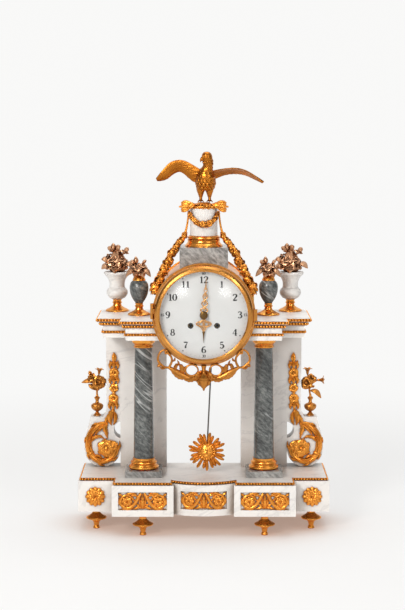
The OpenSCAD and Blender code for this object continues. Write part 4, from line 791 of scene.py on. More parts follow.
def scroll_flowers():
    """Parts of the rosette in the scroll: a whirl of leaves under a large flower and two small ones."""
    parts = []
    c = np.array([158.4, 116.6])
    for a in range(10, 360, 50):
        d = np.array([np.cos(np.radians(a)), np.sin(np.radians(a))])
        q = np.array([-d[1], d[0]])
        whirl = [c + d * 7, c + d * 10.4 + q * 1.5, c + d * 13 + q * 4, c + d * 13.4 + q * 7.4]
        parts.append(flat_leaf(whirl, 3.8, 3, 2.2))
    for x, z, r, high in ((158.4, 116.6, 13.0, 3.0), (147.6, 120, 8.2, 2.6), (151, 106.4, 7.0, 2.4)):
        parts.append(moved(bloom(r, 6, 3), (x, z, high), None, (1, 1, 0.6)))
    return parts


# The right mount has x across, y up and the height out of the face, which stands at this place in depth
CONSOLE_FACE_Y = 46
mount = join(*flower_drop(), *leaf_scroll(), *scroll_flowers())
drops = both(moved(mount, (0, CONSOLE_FACE_Y, 0), FRONT))
piece("console_flower_drops", drops, GILT, ["console_mounts"])


# Flower vases and posies
def heads(places, centre):
    """Flower heads at given places and radii, each facing away from a centre."""
    parts = []
    for k, (x, y, z, r) in enumerate(places):
        way = np.array([x, y, z]) - centre
        parts.append(moved(bloom(r), (x, y, z), facing([way], 0.7 * k)[0]))
    return join(*parts)


def spray(paths, width, thick=0.6):
    """Leaves on curved paths; each is three points from stalk to tip."""
    parts = []
    for a, b, c in paths:
        front = -0.75 if c[1] <= 0 else 0.75
        line = smooth([a, b, c], 11)
        parts.append(leaf(line, outline(11, width, full=1.1), (0, front, 0.65), 0.3, thick, 7, 0.25))
    return join(*parts)


def trumpet(r, length):
    """Trumpet flower along Z: five petals that rise as a tube and turn out at the mouth."""
    u = np.linspace(0, 1, 7)
    path = np.stack([r * (0.16 + 0.2 * u + 0.72 * u**4), 0 * u, length * np.sin(u * pi / 2)], -1)
    petal = leaf(path, outline(7, 0.42 * r, full=1.4), (-1, 0, 0.4), -0.2, 0.07 * r, 5, 0.1)
    tube = turned([(0.2 * r, -0.1 * length), (0.34 * r, 0.2 * length), (0.2 * r, 0.6 * length)], 10)
    return join(copies(petal, np.zeros((5, 3)), about_z(full_circle(5))), tube)


def vase_stem(points, r):
    """A thin round stalk through points."""
    return rod(smooth(points, 12), r, TO_VIEWER, 7)


def console_vase(side):
    """Small tulip vase with a knop and a few cast flowers; the two sides carry different bunches."""
    body = [(6.4, 0), (6.4, 0.9), (5.4, 2.0), (3.2, 4.6), (2.2, 6.2), (3.0, 7.2), (6.0, 8.8), (8.6, 11.8),
            (9.6, 15), (9.5, 17.6), (7.2, 19.6), (3.6, 20.8), (2.7, 22.6), (2.7, 25.4), (4.4, 28.2),
            (4.8, 29.6), (4.2, 30.4), (2.2, 31.6), (1.7, 35), (0.4, 36)]
    lobed = [0] * 6 + [0.04, 0.06, 0.05, 0.03] + [0] * 10
    parts = [turned(body, 48, 12, lobed)]
    if side < 0:
        parts += [vase_stem([(0, 0, 33), (-0.2, 0, 42), (1, 0, 52)], 1.6),
                  vase_stem([(0, 0, 44), (-5, 0, 54), (-9, -1, 62)], 1.2),
                  vase_stem([(1, 0, 52), (2.4, 0, 62), (3.2, 0, 69)], 1.1),
                  heads([(3.1, -5, 55.4, 11), (-9, -3, 63, 7.8), (2, 6, 55, 9), (-6, 5, 58, 7)],
                        (0, 4, 54)),
                  moved(trumpet(7.0, 8.5), (3.4, 0, 68.5), facing([(0.1, -0.1, 1)])[0]),
                  moved(bud(3.2, 8), (-10, 0, 66), facing([(-0.35, 0, 1)])[0]),
                  spray([[(-3, -2, 54), (-14, -3, 57.4), (-25, -3, 54.6)],
                         [(4, -2, 54), (11, -3, 58), (15.8, -3, 53.4)],
                         [(-1, 0, 41), (-8, -4, 48), (-14, -4, 52)], [(0, 0, 40), (3, -5, 47), (7, -8, 50)],
                         [(0, 1, 41), (-3, 7, 48), (-5, 11, 50)]], 4.4)]
    else:
        parts += [vase_stem([(0, 0, 33), (-1.4, 0, 40), (-2, 0, 50)], 1.6),
                  vase_stem([(-2, 0, 50), (5, 0, 54), (11, 0, 58)], 1.1),
                  vase_stem([(-2, 0, 52), (-4, 0, 62), (-5, 0, 70)], 1.1),
                  heads([(-6, -5, 54.5, 10), (1.4, -3, 61, 8.4), (-3, 6, 56, 8), (2, 4, 62, 6)],
                        (-2, 4, 54)),
                  moved(trumpet(7.4, 9.5), (-4.9, 0, 68.5), facing([(0, -0.1, 1)])[0]),
                  moved(trumpet(6.6, 10), (11.5, -0.5, 58.4), facing([(1, -0.3, 0.05)])[0]),
                  spray([[(-2, -1, 41), (9, -3, 40), (17.4, -4, 29)],
                         [(-2, 0, 44), (-10, -4, 48), (-15, -4, 50)],
                         [(-1, 1, 42), (3, 8, 46), (6, 12, 44)]], 4.6)]
    return join(*parts)


left_at, right_at = pair(174, 61.5, 167.5)
vases = join(moved(console_vase(1), right_at), moved(console_vase(-1), left_at))
piece("console_vases", vases, DARK_GILT_AND_SHADE, ["console_urns"])


def campana_posy():
    """Bunch for the white vase: two roses in front, smaller flowers round them, a bud and broad leaves."""
    return join(heads([(-6.5, -10, 18, 10.8), (6.5, -8, 19, 9.0), (12, -2, 31, 7.2), (-13, 0, 24, 7.6),
                       (-1, 2, 31, 7.8), (3, 10, 20, 9), (-9, 9, 16, 8.4), (13, 6, 15, 7.4),
                       (0, -14, 8, 6.6), (13, -8, 9, 6.4), (-13, -9, 9, 6.4), (0, 15, 10, 7)], (0, 0, 2)),
                moved(bud(4.9, 13), (-5.4, 0, 33), facing([(-0.05, 0, 1)])[0]),
                turned([(2, -7), (8, -2), (15, 5), (15, 14), (10, 25), (4, 35), (1, 38)], 20, 5,
                       [0, 0.05, 0.1, 0.12, 0.15, 0.15, 0]),
                spray([[(8, -4, 8), (20, -5, 13), (27.6, -5, 5.6)],
                       [(-8, -5, 12), (-18, -6, 20), (-24.8, -6, 20)],
                       [(-8, -5, 6), (-18, -7, 10), (-24.6, -7, 4.6)],
                       [(0, -10, 6), (-2, -19, 6), (-3, -22, -1)], [(8, 5, 8), (18, 10, 12), (24, 13, 6)],
                       [(-6, 8, 8), (-14, 15, 12), (-19, 19, 6)], [(2, 10, 8), (4, 19, 11), (5, 24, 4)],
                       [(8, -2, 27), (16, -3, 35), (19.6, -3, 35)],
                       [(-4, 0, 30), (-11, -2, 37), (-14, -2, 35)],
                       [(-2, -1, 32), (2, -3, 39), (6, -3, 41)]], 5.4, 0.9))


def ovoid_posy():
    """Bunch for the grey vase: a close cluster with a pointed bud and broad drooping leaves."""
    return join(heads([(-2, -7, 20, 8.2), (7, -4, 22, 6.6), (-9, -2, 22, 6.6), (1, 6, 20, 7.6),
                       (-7, 6, 16, 6.4), (7, 6, 16, 6.4), (1, -8, 13, 5.4)], (0, 0, 8)),
                moved(bud(3.9, 12), (-4.4, 0, 26), facing([(-0.06, 0, 1)])[0]),
                turned([(2, 5), (5, 8), (7, 14), (5, 22), (1, 28)], 16),
                spray([[(-4, -2, 13), (-12, -4, 16), (-20.6, -5, 6.6)],
                       [(4, -2, 13), (11, -4, 16), (18.6, -5, 6)], [(0, 4, 13), (3, 11, 16), (5, 18, 8)],
                       [(-4, 3, 13), (-10, 8, 16), (-15, 12, 8)],
                       [(-2, -5, 11), (-5, -12, 12), (-7, -15, 6)],
                       [(3, -5, 11), (6, -12, 12), (8, -15, 6)], [(4, 0, 24), (9, -2, 29), (11, -3, 29)],
                       [(-5, 0, 24), (-10, -2, 29), (-13, -2, 27)]], 4.8, 0.8))


# Mouth of the right grey vase
OVOID_TOP = (102.5, 3, 395)
piece("campana_posies", copies(campana_posy(), pair(140, 56, 404)), BRONZE, ["campana_bouquets"])
piece("ovoid_posies", copies(ovoid_posy(), pair(*OVOID_TOP)), BRONZE, ["ovoid_bouquets"])
collar = turned([(0.4, -0.4), (9.6, -0.4), (10.3, 0.6), (10.1, 1.8), (9.4, 2.6), (9.2, 4), (7.6, 6.2),
                 (5.4, 8), (4.2, 9.4), (4.4, 10.4), (3.2, 11), (0.4, 11.2)], 40)
piece("ovoid_collars", both(moved(collar, OVOID_TOP)), POLISHED, ["ovoid_bouquets"])


# Garlands, swag and perch: radius of the drum's side, the swag's reach, height and sag, the perch's height
DRUM_SIDE_R = 77.3
SWAG_REACH = 62
SWAG_Z = 502
SWAG_SAG = 16.5
PERCH_Z = 510


def drum_place(degrees, off, r):
    """A place off the drum's side at an angle from its top, and the radius of what hangs there."""
    a = np.radians(degrees)
    out = DRUM_SIDE_R + off
    return (out * np.sin(a), CREST_Y - 8, DIAL_Z + out * np.cos(a), r)


def swag_place(u, r):
    """Places round the crest drum at a radius, where u runs from -1 at the left end of the swag to 1."""
    a = np.radians(-90 + SWAG_REACH * u)
    return np.stack([r * np.cos(a), CREST_Y + r * np.sin(a), SWAG_Z - SWAG_SAG * (1 - u**2)], -1)


garland_line = smooth([(23.8, -13, 501.2, 1.5), (26.4, -13, 482.4, 1.6), (31.0, -13, 466.7, 2.3),
                       (40.4, -13, 453.6, 3.5), (48.6, -13, 440, 4.3), (59.4, -13, 419.7, 5.0),
                       drum_place(56, 6.4, 5.2), drum_place(64.5, 6.4, 5.2),
                       drum_place(69, 4.4, 3.4)], 90)
# The ribbon runs a little way into the leaves, which begin at an earlier point of the line
leaves_from = 20
ribbon_to = 26
path, thick = garland_line[leaves_from:, :3], garland_line[leaves_from:, 3]
garland = join(rod(garland_line[:ribbon_to, :3], garland_line[:ribbon_to, 3], TO_VIEWER, 10, 0.7),
               sprig(path, thick, 60, 9.0, 3, 0.72, 0.56), blossoms(path, thick, 36, 5.6, 4),
               berries(path, thick, 24, 2.2, 5))
piece("long_garlands", both(garland), GILT, ["garlands"])

u = np.linspace(-1, 1, 50)
swag_line = swag_place(u, 25)
swag_radius = 1.8 + 1.5 * np.exp(-(u / 0.5)**2)
swag = join(sprig(swag_line[:26], swag_radius[:26], 20, 4.6, 11, 0.6, 0.5),
            sprig(swag_line[:24:-1], swag_radius[:24:-1], 20, 4.6, 12, 0.6, 0.5),
            blossoms(swag_line, swag_radius, 30, 4.3, 14), berries(swag_line, swag_radius, 24, 1.5, 13))
for s in (-1, 1):
    knot = swag_place(np.float64(s), 25.4)
    swag = join(swag, moved(bloom(4.6, 5, 2), knot, facing([(s * 0.9, -0.5, 0.1)])[0]))
piece("drum_swag", swag, GILT, ["crest_swag"])


def perch():
    """Moulded top plate, a leafy rope round it and two tied bundles of fronds that spread sideways."""
    plate = turned([(0.4, 0), (22.6, 0), (23, 1), (22, 2.4), (17, 3.4), (13, 5.4), (10, 8.4), (9, 9),
                    (0.4, 9)], 48)
    t = np.linspace(0, 2 * pi, 70)
    ring = np.stack([21.0 * np.cos(t), 21.0 * np.sin(t), 3.0 + 0 * t], -1)
    rope = sprig(ring, np.full(70, 2.4), 80, 4.8, 21, 0.75, 0.5)
    fronds = []
    for rise, back in ((9.4, 0), (6.0, -5), (6.4, 4), (2.6, -8), (2.4, 0), (1.6, 7), (-1.4, -6), (-2.0, 3),
                       (-5.0, -1), (-4.6, -7)):
        reach = 39.0 - 0.5 * abs(rise - 2) - 0.4 * abs(back)
        line = smooth([(9, -12, 5.4), (19, -12 + back * 0.4, 4.6 + rise * 0.3),
                       (28, -9 + back * 0.8, 1.6 + rise * 0.95),
                       (reach, -7 + back, rise * 0.9)], 14)
        fronds.append(leaf(line, 3.0 * blunt(14), (0, -0.8, 0.7), 0.35, 0.6, 7, 0.25))
    tie = turned([(2.6, -2), (4.4, -1.4), (4.8, 0), (4.4, 1.4), (2.6, 2)], 20)
    tie = moved(tie, (18.4, -11.6, 5.0), facing([(1, 0.1, -0.1)])[0])
    bead = copies(globe(2.0, 5, 9), [(22, -16, 3.4), (25, -14.6, 6.4), (24, -16.4, 0.4)])
    return moved(join(plate, rope, both(join(*fronds, tie, bead))), (0, CREST_Y, PERCH_Z))


piece("leafy_perch", perch(), GILT, ["eagle_perch"])


# Eagle
def wing(lead, trail):
    """A wing: a thin cambered skin between two edges, and rows of feathers over both of its faces."""
    n = 48
    grid = np.linspace(0, 1, n)
    a, b = smooth(lead, n), smooth(trail, n)
    normal = unit(np.cross(np.gradient(a, axis=0), b - a))

    def place(u, v):
        """Points of the middle surface at shares u of the span and v of the chord, and normals there."""
        p, q, w = (np.stack([np.interp(u, grid, s[:, k]) for k in range(3)], -1) for s in (a, b, normal))
        return p + (q - p) * v[:, None] + w * (1.8 * np.sin(pi * np.clip(v, 0, 1)))[:, None], w

    v = np.linspace(0, 1, 7)
    sheet = np.stack([place(np.full(7, g), v)[0] for g in grid])
    half = normal[:, None] * (1.5 * (1 - 0.7 * v) * np.sqrt(np.clip(v * 6, 0.3, 1)))[:, None]
    parts = [skin(np.concatenate([sheet + half, (sheet - half)[:, ::-1]], 1))]
    # Rows of feathers: count, last start along the span, reach, chord at root and tip, width and lift
    rows = ((11, 0.64, 0.36, 0.5, 1.02, 3.0, 0.5), (9, 0.7, 0.3, 0.26, 0.74, 3.0, 0.8),
            (8, 0.76, 0.24, 0.05, 0.46, 2.8, 1.0))
    s = np.linspace(0, 1, 8)
    for count, last, reach, v0, v1, width, lift in rows:
        for k in range(count):
            start = last * k / (count - 1)
            span = np.clip(start + (reach + 0.1 * start) * s, 0, 1)
            middle, up = place(span, v0 + (v1 - v0) * s**0.8)
            for face in (-1, 1):
                edge = face * up
                line = middle + edge * (lift * (1 - 0.45 * s))[:, None]
                parts.append(leaf(line, outline(8, width, full=1.15), edge, 0.1, 0.3, 5, 0.12))
    return join(*parts)


def eagle_body():
    """Parts of the body and neck: a spine with a scaled skin, and rows of feathers that point down."""
    spine = smooth([(3, 4, 21.4, 1), (3, 3.6, 23, 7), (3, 3, 27, 12), (3, 1.4, 34, 14.6),
                    (3.4, -0.4, 41, 14.0), (4.2, -1.8, 48, 11), (6, -3.4, 54, 8.2), (6.8, -4.6, 60, 7.3),
                    (6.0, -5.6, 66, 7.8), (5.0, -6, 71, 8.2), (4.2, -6.2, 75.4, 7.2),
                    (3.8, -6.2, 78.4, 4.4), (3.7, -6.2, 79.4, 0.5)], 96)
    u = np.linspace(0, 1, 96)[:, None]
    row = u * 20
    scale = (row % 1) * (0.55 + 0.45 * np.cos(10 * full_circle(40) + pi * np.floor(row)))
    radius = spine[:, 3:4] * (1 + 0.1 * scale * np.clip(1.1 - u, 0, 1))
    path = spine[:, :3]
    rows = 10
    in_row = 14
    i = np.repeat(np.linspace(14, 64, rows).astype(int), in_row)
    step = np.tile(np.arange(in_row), rows) + 0.5 * (np.repeat(np.arange(rows), in_row) % 2)
    a = step * 2 * pi / in_row
    out = outward(path, i, a)
    down = unit(-np.gradient(path, axis=0))[i]
    v = np.linspace(0, 1, 5)
    line = np.stack([v, 0 * v, 0.12 * np.sin(pi * v)], -1)
    feather = leaf(line, outline(5, 0.36, full=1.3), arch=0.2, thick=0.05, points=4)
    places = path[i] + out * (0.98 * spine[i, 3:4])
    turns = np.stack([down, np.cross(out, down), out], -1)
    return [rod(path, radius, TO_VIEWER, 40), copies(feather, places, turns, 0.2 + 0.62 * spine[i, 3])]


def eagle_head():
    """Parts of the turned head: a hooked beak in two halves, and an eye under a brow on each side."""
    parts = []
    beak = smooth([(2.4, -9.4, 70.6, 3.6), (-0.8, -11.6, 70.0, 3.0), (-3.6, -13.2, 67.8, 2.1),
                   (-4.9, -13.8, 65, 1.2), (-4.8, -13.6, 62.8, 0.3)], 16)
    parts.append(rod(beak[:, :3], beak[:, 3], (0, 0, 1), 10, 1.1))
    low = smooth([(2.0, -9.6, 68, 2.4), (-1.4, -11.8, 66.4, 1.6), (-3.4, -12.8, 65, 0.5)], 8)
    parts.append(rod(low[:, :3], low[:, 3], (0, 0, 1), 8))
    ahead = np.array([-0.82, -0.57, 0])
    for s in (-1, 1):
        across = np.array([0.57, -0.82, 0]) * s
        eye = np.array([5.0, -6.2, 71.6]) + ahead * 3.6 + across * 5.9
        parts.append(moved(globe(1.2, 5, 10), eye))
        brow = smooth([eye + ahead * 2.2 + (0, 0, 0.6), eye + (0, 0, 1.9) + across * 0.4,
                       eye - ahead * 2.6 + (0, 0, 1.5)], 8)
        parts.append(rod(brow, 0.9 * np.sin(np.linspace(0.3, 2.8, 8)), (0, 0, 1), 6))
    return parts


def eagle_legs():
    """Parts of the legs: feathered thighs, thin shanks and four bent claws each."""
    parts = []
    for s in (-1, 1):
        x = 2.2 + 6.9 * s
        thigh = smooth([(x, 2, 31, 8.2), (x, 1.6, 24, 7.0), (x, 1.0, 18, 6.0), (x, 0.7, 13, 4.3),
                        (x, 0.5, 8.6, 3.0)], 30)
        tuft = (np.linspace(0, 1, 30)[:, None] * 7) % 1
        ruff = 1 + 0.12 * tuft * np.cos(7 * np.arange(20) * 2 * pi / 20)
        parts.append(rod(thigh[:, :3], thigh[:, 3:4] * ruff, TO_VIEWER, 20))
        parts.append(rod([(x, 0.5, 9), (x, 0.2, 5), (x, 0, 2.4)], [2.7, 2.3, 2.5], TO_VIEWER, 10))
        for a in (-125, -90, -55, 90):
            d = np.array([np.cos(np.radians(a)), np.sin(np.radians(a)), 0])
            toe = smooth([(x, 0, 2.4), np.array([x, 0, 3.0]) + d * 3.4, np.array([x, 0, 1.9]) + d * 6.2,
                          np.array([x, 0, 0.3]) + d * 8.2], 12)
            parts.append(rod(toe, np.linspace(1.8, 0.4, 12), (0, 0, 1), 8))
    return parts


def eagle_tail():
    """Parts of the tail: a fan of seven feathers that runs back and down."""
    parts = []
    for k in range(7):
        s = (k - 3) / 3
        line = smooth([(3 + s * 3, 8, 33), (3 + s * 6, 18, 31), (3 + s * 9, 31, 26.6)], 9)
        parts.append(leaf(line, outline(9, 2.8, full=1.3), (0, 0.3, 1), 0.12, 0.6, 5, 0.2))
    return parts


def eagle():
    """Eagle with raised wings, each wing given by its leading edge and its trailing edge."""
    left = wing([(-3, 1, 50), (-20, 3, 60), (-29.5, 4, 64.6), (-40.4, 5, 66), (-53, 7, 62), (-65, 9, 50),
                 (-75, 10, 37)],
                [(-3, 6, 30), (-17, 9, 32), (-28.5, 11, 43), (-38.5, 12, 48), (-49, 13, 43.6),
                 (-60, 13, 35.6), (-74, 12, 34)])
    right = wing([(6, 0, 47), (18, -1, 50), (33, -3, 52.4), (49, -5, 53.4), (64.7, -6, 49.8),
                  (80, -7, 40.6), (93, -7, 31)],
                 [(6, 10, 31), (20, 15, 37), (36, 18, 42.6), (52, 19, 43.8), (66, 17, 41.6), (79, 11, 36),
                  (92, 2, 30)])
    whole = join(*eagle_body(), *eagle_head(), *eagle_legs(), *eagle_tail(), left, right)
    return moved(whole, (0, CREST_Y, EAGLE_Z))


piece("eagle_on_perch", eagle(), ANTIQUE_AND_BEAD_SHADE, ["eagle"])


# Lower mount under the bezel, in the plane of the front ring with the dial's middle as origin
def mount_leaf(points, width, lobes=4, rise=1.8, low=1.6):
    """A lobed leaf of the lower mount, standing a little off the ring."""
    path = smooth([(x, y, low) for x, y in points], 18)
    path[:, 2] += rise * np.sin(np.linspace(0.1, 0.95, 18) * pi)
    return leaf(path, outline(18, width, lobes, 0.3), arch=0.32, thick=0.7, points=7, rib=0.22)


def lower_mount():
    """Scrolled leaf mount: a leafy band, two ringed curls, thin side loops that end in buds, and a drop."""
    half = []
    for line, n in (([(6, -95, 2, 2.6), (14, -97.8, 2, 2.8), (23, -97.6, 2, 3.4), (34, -92.6, 2, 4.6),
                      (44.6, -86.4, 2, 4.2), (54, -80.8, 2, 2.2)], 34),
                    ([(53, -81.4, 2, 1.9), (60, -80.6, 2, 1.7), (66, -76.6, 2, 2.0), (70.4, -70.4, 2, 1.8),
                      (69.8, -62.4, 2, 1.7), (65.4, -56, 2, 1.6), (60.4, -53.8, 2, 1.6),
                      (57, -56.4, 2, 1.9)], 40),
                    ([(53.2, -80.8, 2, 2.0), (49.4, -72, 2, 1.8), (50.2, -64.8, 2, 1.7),
                      (56, -57.6, 2, 2.2), (59.6, -57, 2, 1.2)], 26)):
        p = smooth(line, n)
        half.append(rod(p[:, :3], p[:, 3], flat=0.85, sides=10))
    a = np.radians(np.linspace(-150, 215, 52))
    curl = np.stack([18.6 + 9.8 * np.cos(a), -85.6 + 8.9 * np.sin(a), np.full(52, 2.2)], -1)
    half.append(rod(curl, np.linspace(2.0, 1.2, 52), flat=0.85, sides=10))
    half.append(moved(globe(2.4, 5, 10), (10.2, -90.4, 2.8)))
    half.append(moved(bud(2.6, 7), (66.6, -75.6, 2), facing([(0.75, -0.66, 0.1)])[0]))
    half.append(moved(bloom(3.2, 5, 2), (57.4, -57.4, 3.2)))
    for points, width, lobes in (([(35, -92), (33.4, -84.6), (35, -79), (39.8, -74.6)], 4.6, 5),
                                 ([(43, -86.6), (43.6, -80.6), (41.4, -76.6), (36.6, -76)], 3.2, 4),
                                 ([(41, -79), (38.6, -75.4), (39.4, -72.2), (40.8, -69.4)], 1.6, 0),
                                 ([(26, -97), (35, -95.6), (44, -90.6), (52.6, -83)], 5.0, 6),
                                 ([(12, -98.4), (19, -100.6), (27, -99.8), (35, -95.6)], 3.6, 5),
                                 ([(5, -94), (9, -98.6), (14, -100.6), (20, -100)], 2.6, 4),
                                 ([(31, -93.6), (25, -97), (18, -97.6), (11, -95.6)], 2.4, 4),
                                 ([(50.6, -71), (46.2, -70.4), (44.4, -67.6), (45.6, -66)], 1.8, 3),
                                 ([(31.6, -92), (30.8, -86), (29.6, -81.6), (27.6, -79)], 2.2, 0),
                                 ([(58, -81), (62.4, -82.6), (66.8, -80.6), (69.4, -76.6)], 1.8, 3)):
        half.append(mount_leaf(points, width, lobes))
    middle = smooth([(0, -79, 2), (0, -86, 3.4), (0, -94, 3.2)], 9)
    drop = [rod(middle, [4.2, 3.6, 3.2, 3.1, 3.2, 3.6, 4.2, 4.6, 4.4], sides=12),
            mount_leaf([(0, -88), (0, -97), (0, -107), (0, -117.4)], 8.0, 7, 3.4, 2.4),
            moved(globe(2.4, 5, 10), (0, -88.6, 6.4))]
    # Leaves on both sides of the drop: points from stalk to tip, width, lobes and rise
    hanging = (([(1.6, -86), (8.4, -91.4), (11.4, -97), (8.2, -104.4)], 4.8, 5, 2.4),
               ([(1.6, -93), (6.4, -100), (6.6, -106), (2.6, -112)], 4.2, 5, 2.4),
               ([(2, -91), (6.6, -94), (9.6, -98.4), (11.6, -103.4)], 3.0, 4, 3.4))
    for s in (-1, 1):
        for points, width, lobes, rise in hanging:
            drop.append(mount_leaf([(s * x, y) for x, y in points], width, lobes, rise))
    return join(both(join(*half)), *drop)


LEAF_MOUNT_Y = -84.4
leaf_mount = moved(lower_mount(), (0, LEAF_MOUNT_Y, DIAL_Z), FRONT)
# The darker gilt is painted shade: the mount hangs in the shadow under the bezel
piece("leaf_mount", leaf_mount, DARK_GILT_AND_SHADE, ["lower_mount"])


# Domed glass: radius and rise of the dome, radius of its bend, and the place of its foot in depth
GLASS_R = 67.2
GLASS_RISE = 8.5
GLASS_BEND = (GLASS_R**2 + GLASS_RISE**2) / (2 * GLASS_RISE)
GLASS_Y = -83.3


def dome_line(r, top):
    """Profile of one face of the glass from its middle out to a radius: an arc of the bend."""
    x = r * np.linspace(0.002, 1, 40)
    return np.stack([x, np.sqrt(GLASS_BEND**2 - x**2) - GLASS_BEND + top], -1)


flange = [(66.4, 6.05), (69.35, 6.05), (69.35, 8.05)]
dome = turned(np.vstack([dome_line(66.2, 14.55), flange, dome_line(GLASS_R, 16.55)[::-1]]), 120)
glass = moved(dome, (0, GLASS_Y, DIAL_Z), FRONT)
piece("domed_glass", glass, GLASS, ["bezel_glass"], "bezel_door")


# Dial numbers, winding sleeves and hands
def oval(cx, cy, rx, ry, thin, thick):
    """A pen stroke round an oval: the width grows from thin at top and foot to thick at the sides."""
    a = np.radians(360.0 * np.linspace(0, 1, 40))
    return np.stack([cx + rx * np.cos(a), cy + ry * np.sin(a), thin + (thick - thin) * np.cos(a)**2], -1)


DIGITS = {
    "0": [oval(0.5, 0.5, 0.27, 0.47, 0.03, 0.1)],
    "1": [np.array([(0.5, 0.97, 0.085), (0.5, 0.5, 0.085), (0.5, 0.03, 0.085)]),
          np.array([(0.28, 0.82, 0.03), (0.4, 0.87, 0.04), (0.48, 0.97, 0.05)]),
          np.array([(0.28, 0.03, 0.03), (0.5, 0.03, 0.03), (0.72, 0.03, 0.03)])],
    "2": [np.array([(0.24, 0.74, 0.09), (0.27, 0.87, 0.06), (0.46, 0.97, 0.04), (0.68, 0.88, 0.08),
                    (0.72, 0.7, 0.1), (0.6, 0.48, 0.07), (0.36, 0.24, 0.04), (0.2, 0.05, 0.03)]),
          np.array([(0.2, 0.05, 0.06), (0.5, 0.07, 0.08), (0.74, 0.06, 0.05), (0.78, 0.2, 0.03)])],
    "3": [np.array([(0.25, 0.82, 0.08), (0.36, 0.94, 0.05), (0.52, 0.97, 0.04), (0.7, 0.84, 0.09),
                    (0.66, 0.64, 0.07), (0.44, 0.53, 0.03)]),
          np.array([(0.44, 0.53, 0.03), (0.7, 0.46, 0.07), (0.77, 0.26, 0.1), (0.62, 0.06, 0.06),
                    (0.42, 0.03, 0.04), (0.25, 0.15, 0.09)])],
    "4": [np.array([(0.62, 0.97, 0.085), (0.62, 0.5, 0.085), (0.62, 0.03, 0.085)]),
          np.array([(0.6, 0.96, 0.03), (0.36, 0.62, 0.03), (0.14, 0.28, 0.03)]),
          np.array([(0.14, 0.28, 0.03), (0.5, 0.28, 0.03), (0.86, 0.28, 0.03)]),
          np.array([(0.44, 0.03, 0.03), (0.62, 0.03, 0.03), (0.8, 0.03, 0.03)])],
    "5": [np.array([(0.3, 0.95, 0.05), (0.5, 0.92, 0.08), (0.72, 0.95, 0.05)]),
          np.array([(0.3, 0.95, 0.03), (0.29, 0.72, 0.03), (0.28, 0.52, 0.03)]),
          np.array([(0.28, 0.52, 0.03), (0.5, 0.6, 0.05), (0.74, 0.46, 0.09), (0.76, 0.26, 0.1),
                    (0.6, 0.06, 0.06), (0.4, 0.03, 0.04), (0.25, 0.15, 0.09)])],
    "6": [oval(0.5, 0.3, 0.25, 0.27, 0.03, 0.09),
          np.array([(0.72, 0.88, 0.07), (0.58, 0.97, 0.04), (0.4, 0.86, 0.06), (0.27, 0.6, 0.09),
                    (0.25, 0.32, 0.09)])],
    "7": [np.array([(0.22, 0.86, 0.04), (0.26, 0.93, 0.06), (0.5, 0.92, 0.07), (0.78, 0.96, 0.03)]),
          np.array([(0.78, 0.96, 0.03), (0.58, 0.6, 0.05), (0.46, 0.3, 0.09), (0.44, 0.04, 0.1)])],
    "8": [oval(0.5, 0.73, 0.2, 0.23, 0.03, 0.075), oval(0.5, 0.27, 0.26, 0.25, 0.03, 0.09)],
}
DIGITS["9"] = [np.stack([1 - s[:, 0], 1 - s[:, 1], s[:, 2]], -1) for s in DIGITS["6"]]


# Width of a digit and the step to the next as shares of its height, and half the thickness of the paint
DIGIT_WIDE = 0.95
DIGIT_STEP = 0.64
PAINT_HALF = 0.08
# Radii of the hours across and up, of the minutes across and up, and of the dots
HOUR_RX = 55.4
HOUR_RY = 54.2
MINUTE_RX = 63.8
MINUTE_RY = 64.0
DOT_R = 64.4


def number(word, x, y, high, bold):
    """A number drawn upright about a place on the dial, from flat strokes of varying width."""
    parts = []
    for k, digit in enumerate(word):
        left = x + (k - (len(word) - 1) / 2) * (DIGIT_STEP * high) - 0.5 * high * DIGIT_WIDE
        for stroke in DIGITS[digit]:
            s = stroke if len(stroke) > 20 else smooth(stroke, 22)
            path = np.stack([left + s[:, 0] * high * DIGIT_WIDE, y + (s[:, 1] - 0.5) * high,
                             np.full(len(s), PAINT_HALF)], -1)
            across, up = directions(path, (0, 0, 1))
            half = across * (s[:, 2] * high * bold)[:, None]
            lift = up * PAINT_HALF
            corners = [path + half + lift, path - half + lift, path - half - lift, path + half - lift]
            parts.append(skin(np.stack(corners, 1)))
    return join(*parts)


numbers = []
for hour in range(1, 13):
    a = np.radians(30 * hour)
    numbers.append(number(str(hour), HOUR_RX * np.sin(a), HOUR_RY * np.cos(a), 10.4, 1.3))
for minute in (15, 30, 45, 60):
    a = np.radians(6 * minute)
    numbers.append(number(str(minute), MINUTE_RX * np.sin(a), MINUTE_RY * np.cos(a), 4.2, 1.25))
dots = np.arange(60)
dots = dots[dots % 15 != 0]
a = np.radians(6 * dots)
dot_size = np.where(dots % 5 == 0, 1.05, 0.36)
dot_sizes = np.stack([dot_size, dot_size, np.ones(len(dots))], -1)
dot_places = np.stack([DOT_R * np.sin(a), DOT_R * np.cos(a), 0 * a], -1)
dot = turned([(1, 0), (1, 0.16), (0.4, 0.2)], 10)
numbers.append(copies(dot, dot_places, None, dot_sizes))
piece("dial_numbers", moved(join(*numbers), (0, DIAL_Y, DIAL_Z), FRONT), PAINT_AND_HOLE_SHADE)
# Sleeves lining the winding holes, black as painted shade for the inside of the holes
section = np.array([(3.5, -1.6), (4.15, -1.6), (4.2, 0.1), (4.5, 0.14), (4.5, 0.02), (3.6, -0.4)])
t = full_circle(40)
sleeve = hoop(np.stack([section[None, :, 0] * np.cos(t)[:, None], section[None, :, 0] * np.sin(t)[:, None],
                        np.repeat(section[None, :, 1], 40, 0)], -1))
sleeves = copies(sleeve, pair(20.4, -17, 0))
piece("winding_sleeves", moved(sleeves, (0, DIAL_Y, DIAL_Z), FRONT), PAINT_AND_HOLE_SHADE)


def loop(x, y, r, thick):
    """An oval eye of wire in the plane of a hand."""
    t = full_circle(32)
    tall = 1.15
    line = np.stack([x + r * np.cos(t), y + r * tall * np.sin(t), 0 * t], -1)
    return closed_rod(line, thick, flat=0.6, sides=8)


